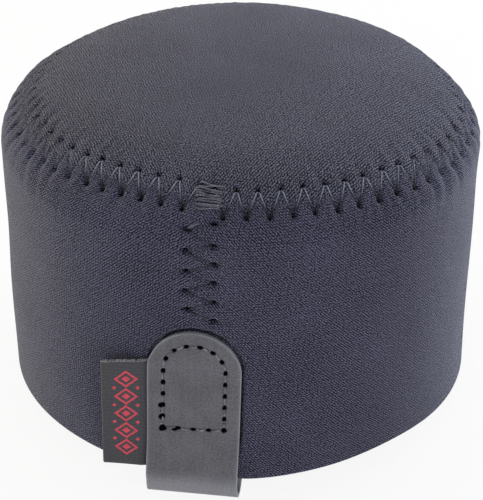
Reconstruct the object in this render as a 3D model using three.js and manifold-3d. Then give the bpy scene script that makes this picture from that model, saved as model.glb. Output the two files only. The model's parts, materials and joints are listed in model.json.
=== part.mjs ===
// A stretch lens cap: a soft neoprene cup that pulls over the front of a lens or its hood.
// Millimetres, +Z up, the crown on top and the open mouth below.
// The cover is drawn with its hem in the plane z = 0, and the whole group is then lowered
// so that the origin lies where a lens hood's front rim rests, inside the crown.
// Azimuth 0 faces -Y, and a positive azimuth turns towards +X.
import * as THREE from "three";
import { mergeVertices } from "three/addons/utils/BufferGeometryUtils.js";
import Module from "manifold-3d";

const wasm = await Module();
wasm.setup();

// Cover: outer shape
const bodyRadius = 60;
const coverHeight = 83.4; // hem to the level middle of the crown
const crownFlatRadius = 10; // level middle of the crown
const crownDome = 8.5; // fall of the dome from the middle to the wall's radius
const shoulderRun = 22; // radial length of the rounded shoulder
const shoulderDrop = 10.9; // height of the rounded shoulder, without the dome's fall
const seamPlace = THREE.MathUtils.degToRad(43.5); // rim seam's place round the shoulder's arc

// Laminate: knit face, foam core and knit lining, glued together
const faceThickness = 0.45;
const foamThickness = 2.5;
const liningThickness = 0.45;
const glueLine = 0.1;
const panelThickness = 1; // stiff panel between the crown's foam and its lining
const panelInset = 8.3; // panel's edge to the rim seam's band
const liningStepRun = 2; // slope where the crown lining steps down under the panel

// Seams
const buttGap = 0.3; // between two cut edges that are sewn edge to edge
const threadWidth = 0.6;
const threadGap = 0.3; // thread to the fabric under it
const zigzagWidth = 6.6;
const zigzagPitch = 5.2;
const seamBandMargin = 0.4; // flat drawn-in fabric beyond the stitch tips
const sideSeamAzimuth = THREE.MathUtils.degToRad(-8.7);
const sideSeamEnds = 1.5; // side seam's stitches to the tab below and the rim seam above
const bartackAzimuth = THREE.MathUtils.degToRad(-8);
const bartackWidth = 7.4;
const bartackPitch = 0.75;
const bartackThreadWidth = 0.44;

// Pull tab: one strip of leather folded round the hem and sewn on both faces of the wall
const tabAzimuth = THREE.MathUtils.degToRad(-10.9);
const tabWidth = 22.5;
const tabHeight = 42.7; // hem to the top of the arch
const tabThickness = 1.4;
const tabDrop = 6.8; // hem to the bottom of the fold
const sewnGap = 0.15; // between pieces that are sewn flat on each other
const loopClearance = 0.3; // swinging fold to the hem inside it
const loopSwing = THREE.MathUtils.degToRad(22); // each way
const loopEndClearance = THREE.MathUtils.degToRad(2); // left at the end of the swing
const hingeRise = 0.8; // fold's hinge line above the hem
const foldStart = 0.2; // straight leg left below the fold's cut ends
const boxStitchInset = 3.5; // box stitch to the tab's edge
const boxStitchBase = 15.5; // hem to the box stitch's lower line
const stitchPitch = 3;
const stitchDip = 0.2; // thread's dip between two stitches

// Woven label: folded tape, its cut ends sewn in under the tab's left edge
const labelHeight = 32;
const labelBase = 1.2; // hem to the label's lower edge
const labelReach = 10.4; // visible width, from the tab's edge
const labelThickness = 0.8;
const labelPressedThickness = 0.5; // where the tab presses it flat
const labelTuck = 4.6; // width caught under the tab
const labelGap = 0.35; // leaf's root to the tab's edge
const labelOpening = THREE.MathUtils.degToRad(22); // leaf off the wall's tangent at rest

// How finely round shapes are faceted
const roundSegments = 60;
const archSegments = 14;
const foldSegments = 10;

// Places worked out from the sizes above
const laminate = faceThickness + foamThickness + liningThickness + 2 * glueLine;
const foamDepth = faceThickness + glueLine;
const liningDepth = foamDepth + foamThickness + glueLine;
const seatHeight = coverHeight - laminate - panelThickness - glueLine;
const wallTop = shoulderPoint(0).y;
const seamCentre = shoulderPoint(seamPlace);
const seamBandHalf = zigzagWidth / 2 + seamBandMargin;
const bandLow = bandEnd(-seamBandHalf);
const bandHigh = bandEnd(seamBandHalf);
const bandMiddle = bandLow.clone().lerp(bandHigh, 0.5);
const upBand = bandHigh.clone().sub(bandLow).normalize();
const offBand = new THREE.Vector2(upBand.y, -upBand.x);
const tabOuterRadius = bodyRadius + sewnGap + tabThickness;
const liningRadius = bodyRadius - laminate;

// Height of the crown's outer surface at a radius inside the shoulder's foot.
function crownHeightAt(radius) {
  const fromFlat = Math.max(radius, crownFlatRadius) ** 2 - crownFlatRadius ** 2;
  const domeFall = (crownDome * fromFlat) / bodyRadius ** 2;
  const along = Math.max(0, radius - (bodyRadius - shoulderRun)) / shoulderRun;
  return coverHeight - domeFall - shoulderDrop * (1 - Math.sqrt(1 - along ** 2));
}

// A point of the shoulder's elliptical arc: 0 at the wall, a quarter turn at its inner end.
function shoulderPoint(angle) {
  const radius = bodyRadius - shoulderRun * (1 - Math.cos(angle));
  return new THREE.Vector2(radius, crownHeightAt(radius));
}

// The end of the seam's flat band, a straight distance from the seam round the shoulder.
function bandEnd(distance) {
  let near = seamPlace;
  let far = distance > 0 ? Math.PI / 2 : 0;
  for (let halving = 0; halving < 40; halving++) {
    const middle = (near + far) / 2;
    const reached = shoulderPoint(middle).distanceTo(seamCentre);
    if (reached < Math.abs(distance)) near = middle;
    else far = middle;
  }
  return shoulderPoint(near);
}

// Outer line of the wall, from the hem to the rim seam, as points of radius and height.
function wallOutline() {
  const lowerShoulder = shoulderPoint(0).lerp(bandLow, 0.5);
  lowerShoulder.y = crownHeightAt(lowerShoulder.x);
  return [
    new THREE.Vector2(bodyRadius, 0),
    new THREE.Vector2(bodyRadius, wallTop),
    lowerShoulder,
    bandLow,
    bandMiddle.clone().addScaledVector(upBand, -buttGap / 2),
  ];
}

// Outer line of the crown, from the rim seam to the axis.
function crownOutline() {
  const radii = [
    panelEdgeRadius() + liningStepRun,
    panelEdgeRadius(),
    bodyRadius - shoulderRun,
    (bodyRadius - shoulderRun + crownFlatRadius) / 2,
    crownFlatRadius,
    0,
  ];
  const inwards = radii.sort((a, b) => b - a);
  return [
    bandMiddle.clone().addScaledVector(upBand, buttGap / 2),
    bandHigh,
    ...inwards.map((radius) => new THREE.Vector2(radius, crownHeightAt(radius))),
  ];
}

function panelEdgeRadius() {
  return bandHigh.x - panelInset;
}

// The outline moved into the material, square to it. depthAt gives each point's depth.
function offsetInwards(outline, depthAt) {
  const inward = outline.slice(1).map((point, index) => {
    const along = point.clone().sub(outline[index]).normalize();
    return new THREE.Vector2(-along.y, along.x);
  });
  return outline.map((point, index) => {
    const before = inward[Math.max(index - 1, 0)];
    const after = inward[Math.min(index, inward.length - 1)];
    const miter = before.clone().add(after).normalize();
    const depth = depthAt(point) / miter.dot(after);
    return point.clone().addScaledVector(miter, depth);
  });
}

// A closed mesh with shared vertices and no triangle of zero area, as manifold-3d wants it.
function welded(geometry) {
  geometry.deleteAttribute("normal");
  geometry.deleteAttribute("uv");
  const merged = mergeVertices(geometry, 1e-4);
  const corners = Array.from(merged.index.array);
  const kept = [];
  for (let i = 0; i < corners.length; i += 3) {
    const [a, b, c] = corners.slice(i, i + 3);
    if (a !== b && b !== c && c !== a) kept.push(a, b, c);
  }
  merged.setIndex(kept);
  return merged;
}

function toSolid(geometry) {
  const closed = welded(geometry);
  return new wasm.Manifold(
    new wasm.Mesh({
      numProp: 3,
      vertProperties: closed.attributes.position.array,
      triVerts: new Uint32Array(closed.index.array),
    }),
  );
}

function toGeometry(solid) {
  const { vertProperties, triVerts } = solid.getMesh();
  const geometry = new THREE.BufferGeometry();
  geometry.setAttribute("position", new THREE.BufferAttribute(vertProperties, 3));
  geometry.setIndex(Array.from(triVerts));
  return geometry;
}

// A solid of revolution about Z. The profile runs anticlockwise, radius to the right.
function revolve(profile) {
  const first = profile[0];
  const onAxis = first.x === 0 && profile.at(-1).x === 0;
  const closed = onAxis ? profile : [...profile, first.clone()];
  return welded(new THREE.LatheGeometry(closed, roundSegments).rotateX(Math.PI / 2));
}

// A layer between two depths under an outline that runs up the outside of the cover.
function layer(outline, outerDepthAt, innerDepthAt) {
  const outer = offsetInwards(outline, outerDepthAt);
  const inner = offsetInwards(outline, innerDepthAt);
  return revolve([...outer, ...inner.reverse()]);
}

// A plain tube round the Z axis, between two radii and two heights.
function ring(innerRadius, outerRadius, low, high) {
  return revolve([
    new THREE.Vector2(innerRadius, low),
    new THREE.Vector2(outerRadius, low),
    new THREE.Vector2(outerRadius, high),
    new THREE.Vector2(innerRadius, high),
  ]);
}

// A shape drawn on the wall at an azimuth, x to the right and y up, made a radial prism.
function radialPrism(shape, azimuth) {
  const depth = bodyRadius + tabThickness;
  const prism = new THREE.ExtrudeGeometry(shape, {
    depth,
    bevelEnabled: false,
    curveSegments: archSegments,
  });
  const across = new THREE.Vector3(1, 0, 0);
  const up = new THREE.Vector3(0, 0, 1);
  const outward = new THREE.Vector3(0, -1, 0);
  prism.applyMatrix4(new THREE.Matrix4().makeBasis(across, up, outward));
  prism.translate(0, -depth / 4, 0);
  return prism.rotateZ(azimuth);
}

function rectangle(left, right, low, high) {
  return new THREE.Shape([
    new THREE.Vector2(left, low),
    new THREE.Vector2(right, low),
    new THREE.Vector2(right, high),
    new THREE.Vector2(left, high),
  ]);
}

// An upright tongue with a round top, as the tab and its box stitch have.
function archShape(halfWidth, low, high) {
  const arch = new THREE.Shape();
  arch.moveTo(-halfWidth, low);
  arch.lineTo(halfWidth, low);
  arch.lineTo(halfWidth, high - halfWidth);
  arch.absarc(0, high - halfWidth, halfWidth, 0, Math.PI, false);
  arch.closePath();
  return arch;
}

// A point off the Z axis by azimuth, radius and height.
function polar(azimuth, radius, height) {
  return new THREE.Vector3(radius * Math.sin(azimuth), -radius * Math.cos(azimuth), height);
}

// A thread with a diamond section along a path of points, each with its surface normal.
function threadGeometry(path, width, closed) {
  const count = path.length;
  const half = width / 2;
  const positions = [];
  path.forEach(({ point, normal }, index) => {
    const before = path[closed ? (index + count - 1) % count : Math.max(index - 1, 0)].point;
    const after = path[closed ? (index + 1) % count : Math.min(index + 1, count - 1)].point;
    const incoming = point.clone().sub(before).normalize();
    const outgoing = after.clone().sub(point).normalize();
    const along = incoming.clone().add(outgoing).normalize();
    const side = along.clone().cross(normal).normalize();
    const lift = side.clone().cross(along).normalize();
    const straight = Math.max(along.dot(incoming), along.dot(outgoing));
    side.multiplyScalar(half / straight);
    lift.multiplyScalar(half);
    for (const offset of [lift, side, lift.clone().negate(), side.clone().negate()]) {
      positions.push(...point.clone().add(offset).toArray());
    }
  });
  const faces = [];
  const spans = closed ? count : count - 1;
  for (let span = 0; span < spans; span++) {
    const here = span * 4;
    const next = ((span + 1) % count) * 4;
    for (let corner = 0; corner < 4; corner++) {
      const turned = (corner + 1) % 4;
      faces.push(here + corner, here + turned, next + turned);
      faces.push(here + corner, next + turned, next + corner);
    }
  }
  if (!closed) {
    const last = (count - 1) * 4;
    faces.push(0, 2, 1, 0, 3, 2);
    faces.push(last, last + 1, last + 2, last, last + 2, last + 3);
  }
  const geometry = new THREE.BufferGeometry();
  geometry.setAttribute("position", new THREE.Float32BufferAttribute(positions, 3));
  geometry.setIndex(faces);
  return geometry;
}

// A point over the rim seam's band, at a distance up it and a lift off its outer face.
function overBand(azimuth, upwards, lift) {
  const place = bandMiddle.clone().addScaledVector(upBand, upwards);
  place.addScaledVector(offBand, lift);
  const leaning = polar(azimuth, offBand.x, offBand.y);
  return { point: polar(azimuth, place.x, place.y), normal: leaning };
}

// The rim seam's zigzag, once round from the bartack's right end to its left end.
function rimSeam(lift) {
  const bartackTurn = (bartackWidth + zigzagPitch / 2) / bandMiddle.x;
  const turn = 2 * Math.PI - bartackTurn;
  const halfStitches = Math.round((turn * bandMiddle.x) / (zigzagPitch / 2));
  const start = bartackAzimuth + bartackTurn / 2;
  const path = [];
  for (let tip = 0; tip <= halfStitches; tip++) {
    const upwards = tip % 2 ? zigzagWidth / 2 : -zigzagWidth / 2;
    path.push(overBand(start + (turn * tip) / halfStitches, upwards, lift));
  }
  return threadGeometry(path, threadWidth, false);
}

// The bartack that locks the rim seam's ends: one thread laid to and fro in close rows.
function bartack(lift) {
  const rows = Math.round(zigzagWidth / bartackPitch);
  const halfTurn = bartackWidth / 2 / bandMiddle.x;
  const path = [];
  for (let row = 0; row < rows; row++) {
    const upwards = (row - (rows - 1) / 2) * (zigzagWidth / rows);
    const way = row % 2 ? -1 : 1;
    path.push(overBand(bartackAzimuth - way * halfTurn, upwards, lift));
    path.push(overBand(bartackAzimuth + way * halfTurn, upwards, lift));
  }
  return threadGeometry(path, bartackThreadWidth, false);
}

// Radius, height and normal of the wall's outer line at a distance up from the hem.
function alongWall(distance) {
  const outline = wallOutline();
  let left = distance;
  let index = 0;
  while (index < outline.length - 2 && left > outline[index].distanceTo(outline[index + 1])) {
    left -= outline[index].distanceTo(outline[index + 1]);
    index += 1;
  }
  const along = outline[index + 1].clone().sub(outline[index]).normalize();
  const place = outline[index].clone().addScaledVector(along, left);
  return { place, outward: new THREE.Vector2(along.y, -along.x) };
}

// The side seam's zigzag, from just above the tab up to just below the rim seam's band.
function sideSeam(lift) {
  const outline = wallOutline();
  const bandStart = outline
    .slice(1, 4)
    .reduce((sum, point, index) => sum + point.distanceTo(outline[index]), 0);
  const low = tabHeight + sideSeamEnds;
  const high = bandStart - sideSeamEnds;
  const halfStitches = Math.max(2, Math.round((high - low) / (zigzagPitch / 2)));
  const path = [];
  for (let tip = 0; tip <= halfStitches; tip++) {
    const { place, outward } = alongWall(low + ((high - low) * tip) / halfStitches);
    place.addScaledVector(outward, lift);
    const way = tip % 2 ? -1 : 1;
    const azimuth = sideSeamAzimuth + (way * zigzagWidth) / 2 / bodyRadius;
    const normal = polar(azimuth, outward.x, outward.y);
    path.push({ point: polar(azimuth, place.x, place.y), normal });
  }
  return threadGeometry(path, threadWidth, false);
}

// The box stitch round the tab's end. The thread rises over each stitch and dips between.
function boxStitch(radius, facing) {
  const outline = archShape(tabWidth / 2 - boxStitchInset, boxStitchBase, tabHeight - boxStitchInset);
  const stitches = Math.round(outline.getLength() / stitchPitch);
  const path = outline.getSpacedPoints(2 * stitches).slice(0, -1).map((flat, index) => {
    const raised = radius + facing * (index % 2 ? stitchDip : 0);
    const azimuth = tabAzimuth + Math.asin(flat.x / radius);
    return { point: polar(azimuth, raised, flat.y), normal: polar(azimuth, facing, 0) };
  });
  return threadGeometry(path, threadWidth, true);
}

// A layer of the wall strip, open along the side seam where its two ends meet.
function wallLayer(outerDepth, thickness) {
  const strip = layer(wallOutline(), () => outerDepth, () => outerDepth + thickness);
  const slit = radialPrism(rectangle(-buttGap / 2, buttGap / 2, -1, coverHeight), sideSeamAzimuth);
  return toGeometry(toSolid(strip).subtract(toSolid(slit)));
}

function crownLayer(outerDepth, thickness) {
  return layer(crownOutline(), () => outerDepth, () => outerDepth + thickness);
}

// The stiff panel lies under the crown's foam, inside the panel's edge.
function impactPanel() {
  const edge = panelEdgeRadius();
  const outline = crownOutline().filter((point) => point.x <= edge);
  return layer(outline, () => liningDepth, () => liningDepth + panelThickness);
}

// The crown's lining is glued to the foam round the edge and steps down under the panel.
function crownLining() {
  const edge = panelEdgeRadius();
  const underPanel = panelThickness + glueLine;
  const depthAt = (point) => liningDepth + (point.x <= edge ? underPanel : 0);
  return layer(crownOutline(), depthAt, (point) => depthAt(point) + liningThickness);
}

// One sewn end of the tab, bent to the wall between two radii.
function tabEnd(innerRadius, outerRadius) {
  const stock = ring(innerRadius, outerRadius, 0, tabHeight + 1);
  const outline = radialPrism(archShape(tabWidth / 2, hingeRise, tabHeight), tabAzimuth);
  return toSolid(stock).intersect(toSolid(outline));
}

// The outer end, pressed thin over the label's tucked margin along its left edge.
function tabFront() {
  const end = tabEnd(bodyRadius + sewnGap, tabOuterRadius);
  const pressed = ring(
    bodyRadius,
    bodyRadius + sewnGap * 2 + labelPressedThickness,
    labelBase - sewnGap,
    labelBase + labelHeight + sewnGap,
  );
  const strip = rectangle(-tabWidth, labelTuck + sewnGap - tabWidth / 2, 0, tabHeight);
  const pocket = toSolid(pressed).intersect(toSolid(radialPrism(strip, tabAzimuth)));
  return toGeometry(end.subtract(pocket));
}

function tabBack() {
  return toGeometry(tabEnd(liningRadius - sewnGap - tabThickness, liningRadius - sewnGap));
}

// Half the wall's thickness across the tab's width, and the radius of its middle there.
const wallInnerAtTab = Math.sqrt(liningRadius ** 2 - (tabWidth / 2) ** 2);
const wallHalfAtTab = (bodyRadius - wallInnerAtTab) / 2;
const hingeRadius = (bodyRadius + wallInnerAtTab) / 2;

// The free fold of the tab below the hem: a U whose cut ends face along rays of its hinge
// line, so that it can swing between the two sewn ends and round the hem's edge.
function tabLoop() {
  const legInner = Math.hypot(wallHalfAtTab, hingeRise) + loopClearance;
  const legOuter = legInner + tabThickness;
  const endSlope = Math.tan(loopSwing + loopEndClearance);
  const foldTop = -legOuter * endSlope - foldStart;
  const foldDepth = tabDrop + hingeRise + foldTop;
  const fold = new THREE.Shape();
  fold.moveTo(legOuter, foldTop);
  fold.lineTo(legOuter, -legOuter * endSlope);
  fold.lineTo(legInner, -legInner * endSlope);
  fold.lineTo(legInner, foldTop);
  fold.absellipse(0, foldTop, legInner, foldDepth - tabThickness, 0, Math.PI, true);
  fold.lineTo(-legInner, -legInner * endSlope);
  fold.lineTo(-legOuter, -legOuter * endSlope);
  fold.lineTo(-legOuter, foldTop);
  fold.absellipse(0, foldTop, legOuter, foldDepth, Math.PI, 2 * Math.PI, false);
  const strip = new THREE.ExtrudeGeometry(fold, {
    depth: tabWidth,
    bevelEnabled: false,
    curveSegments: foldSegments,
  });
  strip.translate(0, 0, -tabWidth / 2);
  const outward = new THREE.Vector3(0, -1, 0);
  const up = new THREE.Vector3(0, 0, 1);
  const across = new THREE.Vector3(-1, 0, 0);
  return strip.applyMatrix4(new THREE.Matrix4().makeBasis(outward, up, across));
}

// The label's two cut ends, pressed flat between the wall and the tab.
function labelMargin() {
  const inner = bodyRadius + sewnGap;
  const stock = ring(inner, inner + labelPressedThickness, labelBase, labelBase + labelHeight);
  const strip = rectangle(-tabWidth / 2, labelTuck - tabWidth / 2, 0, tabHeight);
  return toGeometry(toSolid(stock).intersect(toSolid(radialPrism(strip, tabAzimuth))));
}

// The label's free leaf, with round edges. Its root turns about the vertical hinge line.
function labelLeaf() {
  const half = labelThickness / 2;
  const reach = labelReach - half - labelGap - half;
  const section = new THREE.Shape();
  section.absarc(0, 0, half, -Math.PI / 2, Math.PI / 2, false);
  section.absarc(-reach, 0, half, Math.PI / 2, (3 * Math.PI) / 2, false);
  section.closePath();
  return new THREE.ExtrudeGeometry(section, {
    depth: labelHeight,
    bevelEnabled: false,
    curveSegments: foldSegments / 2,
  });
}

// Materials, as the photograph shows them
const knit = { color: 0x494a55, roughness: 0.85, metalness: 0 };
const foam = { color: 0x26262b, roughness: 0.95, metalness: 0 };
const panelBoard = { color: 0x3a3a3c, roughness: 0.6, metalness: 0 };
const thread = { color: 0x17171a, roughness: 0.5, metalness: 0 };
const leather = { color: 0x58585b, roughness: 0.55, metalness: 0 };
const wovenTape = { color: 0x46484b, roughness: 0.8, metalness: 0 };

const lensCap = new THREE.Group();
lensCap.position.z = -seatHeight;

function add(name, geometry, finish) {
  const mesh = new THREE.Mesh(geometry, new THREE.MeshStandardMaterial(finish));
  mesh.name = name;
  lensCap.add(mesh);
  return mesh;
}

add("crown_face_fabric", crownLayer(0, faceThickness), knit);
add("crown_foam", crownLayer(foamDepth, foamThickness), foam);
add("crown_impact_panel", impactPanel(), panelBoard);
add("crown_lining", crownLining(), knit);

add("wall_face_fabric", wallLayer(0, faceThickness), knit);
add("wall_foam", wallLayer(foamDepth, foamThickness), foam);
add("wall_lining", wallLayer(liningDepth, liningThickness), knit);

const outerLift = threadGap + threadWidth / 2;
const innerLift = -laminate - outerLift;
add("rim_seam_needle_thread", rimSeam(outerLift), thread);
add("rim_seam_bobbin_thread", rimSeam(innerLift), thread);
add("side_seam_needle_thread", sideSeam(outerLift), thread);
add("side_seam_bobbin_thread", sideSeam(innerLift), thread);
add("bartack_needle_thread", bartack(outerLift), thread);
add("bartack_bobbin_thread", bartack(innerLift), thread);

add("tab_front", tabFront(), leather);
add("tab_back", tabBack(), leather);
const loop = add("tab_loop", tabLoop(), leather);
loop.position.copy(polar(tabAzimuth, hingeRadius, hingeRise));
loop.rotation.z = tabAzimuth;

const boxStitchLift = sewnGap + tabThickness + threadGap + threadWidth / 2;
add("tab_box_stitch_needle_thread", boxStitch(bodyRadius + boxStitchLift, 1), thread);
add("tab_box_stitch_bobbin_thread", boxStitch(liningRadius - boxStitchLift, -1), thread);

add("label_margin", labelMargin(), wovenTape);
const leaf = add("label_leaf", labelLeaf(), wovenTape);
const leafHingeOffset = tabWidth / 2 + labelGap + labelThickness / 2;
const leafHingeRadius = bodyRadius + sewnGap + tabThickness - labelThickness / 2;
const leafAzimuth = tabAzimuth - Math.asin(leafHingeOffset / leafHingeRadius);
leaf.position.copy(polar(leafAzimuth, leafHingeRadius, labelBase));
leaf.rotation.z = leafAzimuth + labelOpening;

export default lensCap;
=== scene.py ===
# %% [markdown]
# # A soft stretch lens cap
#
# This is a cup of neoprene, the foam sheet of wetsuits, with a knit glued to each side. A round
# crown and a straight wall strip are sewn edge to edge with a wide zigzag, the strip is closed by
# a second zigzag up the front, and a leather tab with a woven label is sewn over the hem.
#
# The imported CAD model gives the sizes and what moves. It is loaded first, and all that follows
# is built around it, in metres, in its frame.

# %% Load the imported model
import json
import math

import bmesh
import bpy
import numpy as np
from mathutils import Matrix, Vector


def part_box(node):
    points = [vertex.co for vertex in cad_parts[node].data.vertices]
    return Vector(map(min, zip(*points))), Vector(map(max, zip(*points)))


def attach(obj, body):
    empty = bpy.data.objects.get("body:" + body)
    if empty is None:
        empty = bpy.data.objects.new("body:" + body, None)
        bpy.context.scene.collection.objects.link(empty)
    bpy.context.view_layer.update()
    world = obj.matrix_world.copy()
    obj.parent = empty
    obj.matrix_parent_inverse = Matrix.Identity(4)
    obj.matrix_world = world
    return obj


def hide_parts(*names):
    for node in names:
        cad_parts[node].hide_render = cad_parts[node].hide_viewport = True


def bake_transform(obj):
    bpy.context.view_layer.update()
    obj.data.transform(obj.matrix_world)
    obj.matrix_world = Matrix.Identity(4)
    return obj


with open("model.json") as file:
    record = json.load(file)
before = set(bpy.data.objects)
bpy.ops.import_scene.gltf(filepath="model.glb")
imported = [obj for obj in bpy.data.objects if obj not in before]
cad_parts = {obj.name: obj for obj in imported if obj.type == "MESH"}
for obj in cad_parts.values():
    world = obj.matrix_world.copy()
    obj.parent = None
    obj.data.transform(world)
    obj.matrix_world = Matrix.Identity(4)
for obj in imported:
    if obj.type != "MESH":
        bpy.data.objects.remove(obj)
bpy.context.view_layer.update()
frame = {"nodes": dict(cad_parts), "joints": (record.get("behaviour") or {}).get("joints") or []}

# %% [markdown]
# ## Driving sizes
#
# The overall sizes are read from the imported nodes, so the looks follow the model. The sizes that
# a box can't tell, such as the thickness of each layer or the pitch of a seam, are written once
# here, as a maker would put them on a spec sheet.

# %% Sizes of the sheet, its seams and the tab
MM = 0.001
hem_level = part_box("wall_face_fabric")[0].z
body_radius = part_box("wall_face_fabric")[1].x
cover_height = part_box("crown_face_fabric")[1].z - hem_level

crown_flat = 10 * MM
crown_dome = 8.5 * MM
shoulder_run = 22 * MM
shoulder_drop = 10.9 * MM
seam_place = math.radians(43.5)

face_depths = (0.0, 0.5 * MM)
foam_depths = (0.52 * MM, 3.08 * MM)
lining_depths = (3.12 * MM, 3.6 * MM)
crown_lining_depths = (4.3 * MM, 4.7 * MM)
laminate = 3.6 * MM

zigzag_half = 3.25 * MM
zigzag_pitch = 5.2 * MM
butt_gap = 0.06 * MM
side_seam_azimuth = math.radians(-8.7)
bartack_azimuth = math.radians(-8)
bartack_width = 6.7 * MM
thread_radius = 0.22 * MM

tab_azimuth = math.radians(-10.9)
tab_half = 11.15 * MM
tab_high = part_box("tab_front")[1].z - hem_level - 0.65 * MM
tab_thickness = 1.05 * MM

print("body radius", round(body_radius / MM, 2), "mm, height", round(cover_height / MM, 2), "mm")

# %% [markdown]
# ## Soft steps
#
# Cloth has no sharp changes, so its shape is built from soft ones. These few functions are used
# all through the script.

# %% Ramps, bells and turns
def ramp(value, start, end):
    """0 at the start and before it, 1 at the end and past it. The end may be below the start."""
    return np.clip((value - start) / (end - start), 0, 1)


def smooth_step(value, start, end):
    """A ramp that begins and ends gently."""
    share = ramp(value, start, end)
    return share * share * (3 - 2 * share)


def bell(value, width):
    """1 at 0, fading to both sides."""
    return np.exp(-((value / width) ** 2))


def turned_from(start, azimuth):
    """The shorter way round from a start to an azimuth, from -pi to pi."""
    return np.mod(azimuth - start + math.pi, 2 * math.pi) - math.pi


def near(azimuth, degrees, spread):
    """1 at an azimuth given in degrees, fading to both sides of it."""
    return bell(np.mod(np.degrees(azimuth) - degrees + 180, 360) - 180, spread)


# %% [markdown]
# ## The cover's outer line
#
# Every layer of the cover follows one line: straight up the wall, round an elliptical shoulder
# and in over a shallow dome. The line is sampled once, with the distance along it from the hem.
# A point of the cover is then an azimuth, a distance up that line and a depth under it, which is
# how a sewn cover is measured with a tape.

# %% Sample the outer line
WALL_POINTS = 40
SHOULDER_POINTS = 160
TOP_POINTS = 120


def crown_height(radius):
    """Height of the shoulder and the dome over the hem, at a radius."""
    past_flat = np.maximum(radius, crown_flat) ** 2 - crown_flat**2
    across = np.maximum(0, radius - (body_radius - shoulder_run)) / shoulder_run
    drop = shoulder_drop * (1 - np.sqrt(np.maximum(0, 1 - across**2)))
    return cover_height - crown_dome * past_flat / body_radius**2 - drop


shoulder_turn = np.linspace(0, math.pi / 2, SHOULDER_POINTS)
shoulder_radii = body_radius - shoulder_run * (1 - np.cos(shoulder_turn))
top_radii = np.linspace(body_radius - shoulder_run, 0, TOP_POINTS)[1:]
wall_heights = np.linspace(0, float(crown_height(body_radius)), WALL_POINTS, endpoint=False)

line_radius = np.concatenate([np.full(WALL_POINTS, body_radius), shoulder_radii, top_radii])
curved_heights = crown_height(np.concatenate([shoulder_radii, top_radii]))
line_height = np.concatenate([wall_heights, curved_heights])
line_steps = np.hypot(np.diff(line_radius), np.diff(line_height))
line_distance = np.concatenate([[0], np.cumsum(line_steps)])
outward_radial = np.gradient(line_height, line_distance)
outward_up = -np.gradient(line_radius, line_distance)

cut_length = float(line_distance[-1])
shoulder_distance = line_distance[WALL_POINTS : WALL_POINTS + SHOULDER_POINTS]
seam_distance = float(np.interp(seam_place, shoulder_turn, shoulder_distance))
seam_radius = float(np.interp(seam_distance, line_distance, line_radius))


def on_cover(azimuth, distance, depth=0.0):
    """Points of the cover from their azimuth, their distance up from the hem and their depth."""
    radial = np.interp(distance, line_distance, outward_radial)
    up = np.interp(distance, line_distance, outward_up)
    size = np.hypot(radial, up)
    radius = np.interp(distance, line_distance, line_radius) - depth * radial / size
    radius = np.maximum(radius, 0)
    height = np.interp(distance, line_distance, line_height) - depth * up / size
    height = height + np.minimum(distance, 0)
    places = (radius * np.sin(azimuth), -radius * np.cos(azimuth), height + hem_level)
    return np.stack(np.broadcast_arrays(*places), axis=-1)


print("hem to rim seam", round(seam_distance / MM, 1), "mm; hem to middle", round(cut_length / MM, 1))

# %% [markdown]
# ## Where the needle went
#
# A seam sewn by hand guidance is never true. This one lies lower on the right and climbs on its
# way round the back, so its end comes in above its start, and a few close rows of thread, the
# bartack, lock the two together. The knit gives under the needle too, so the upper holes have
# slipped away from the front, and at the far right they were drawn down, where the stitch is
# narrower. The holes are planned before any cloth is made, because both the cloth and the thread
# take their shape from them.

# %% Plan the needle holes
dice = np.random.default_rng(11)
half_bartack = bartack_width / 2 / seam_radius
stray_turns = [0, 8, 28, 48, 58, 70, 98, 188, 278, 314, 338, 345, 353, 360]
stray_sizes = [0.8, 0.0, -0.3, -1.0, -1.8, -2.9, -3.2, 0.2, -0.3, 0.85, 1.95, 2.1, 1.65, 0.8]
rough_stray = np.interp(np.arange(-30, 391), stray_turns, stray_sizes, period=360)
smooth_stray = np.convolve(rough_stray, np.full(7, 1 / 7), mode="same")[30:391]


def seam_wander(azimuth):
    """How far up the cover the sewn line strays from its level."""
    turn = np.degrees(np.mod(azimuth - bartack_azimuth, 2 * math.pi))
    return np.interp(turn, np.arange(361), smooth_stray) * MM


def needle_slip(azimuth):
    """How far an upper hole has slipped round the seam, and a lower hole the other way."""
    return (1.7 * np.sin(azimuth) + 0.7 * near(azimuth, -16, 12)) * MM


def needle_drop(azimuth):
    """How much lower the upper holes lie at the right, where the stitch was pulled narrower."""
    return 2.0 * MM * near(azimuth, 76, 16)


def zigzag(travel, first_side):
    """Needle holes of a zigzag: (travel along the seam, side of it) for each tip."""
    count = len(travel)
    side = np.where(np.arange(count) % 2 == 0, first_side, -first_side) * zigzag_half
    travel = travel + dice.normal(0, 0.12 * MM, count)
    side = side + dice.normal(0, 0.14 * MM, count)
    return np.stack([travel, side], axis=1)


rim_start = math.radians(-6.6)
rim_turn = 2 * math.pi - math.radians(4.0)
rim_half_stitches = 2 * round(rim_turn * seam_radius / zigzag_pitch)
rim_azimuths = np.linspace(rim_start, rim_start + rim_turn, rim_half_stitches + 1)
rim_tips = zigzag(rim_azimuths * seam_radius, 1)
rim_tips[:, 0] += np.sign(rim_tips[:, 1]) * needle_slip(rim_azimuths)
rim_tips[:, 1] -= (rim_tips[:, 1] > 0) * needle_drop(rim_azimuths)

side_seam_low = tab_high + 3.05 * MM
side_seam_high = seam_distance - zigzag_half - 2.25 * MM
side_half_stitches = round((side_seam_high - side_seam_low) / (zigzag_pitch / 2))
side_tips = zigzag(np.linspace(side_seam_low, side_seam_high, side_half_stitches + 1), 1)
print(len(rim_tips), "needle holes round the rim and", len(side_tips), "up the side seam")

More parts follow.
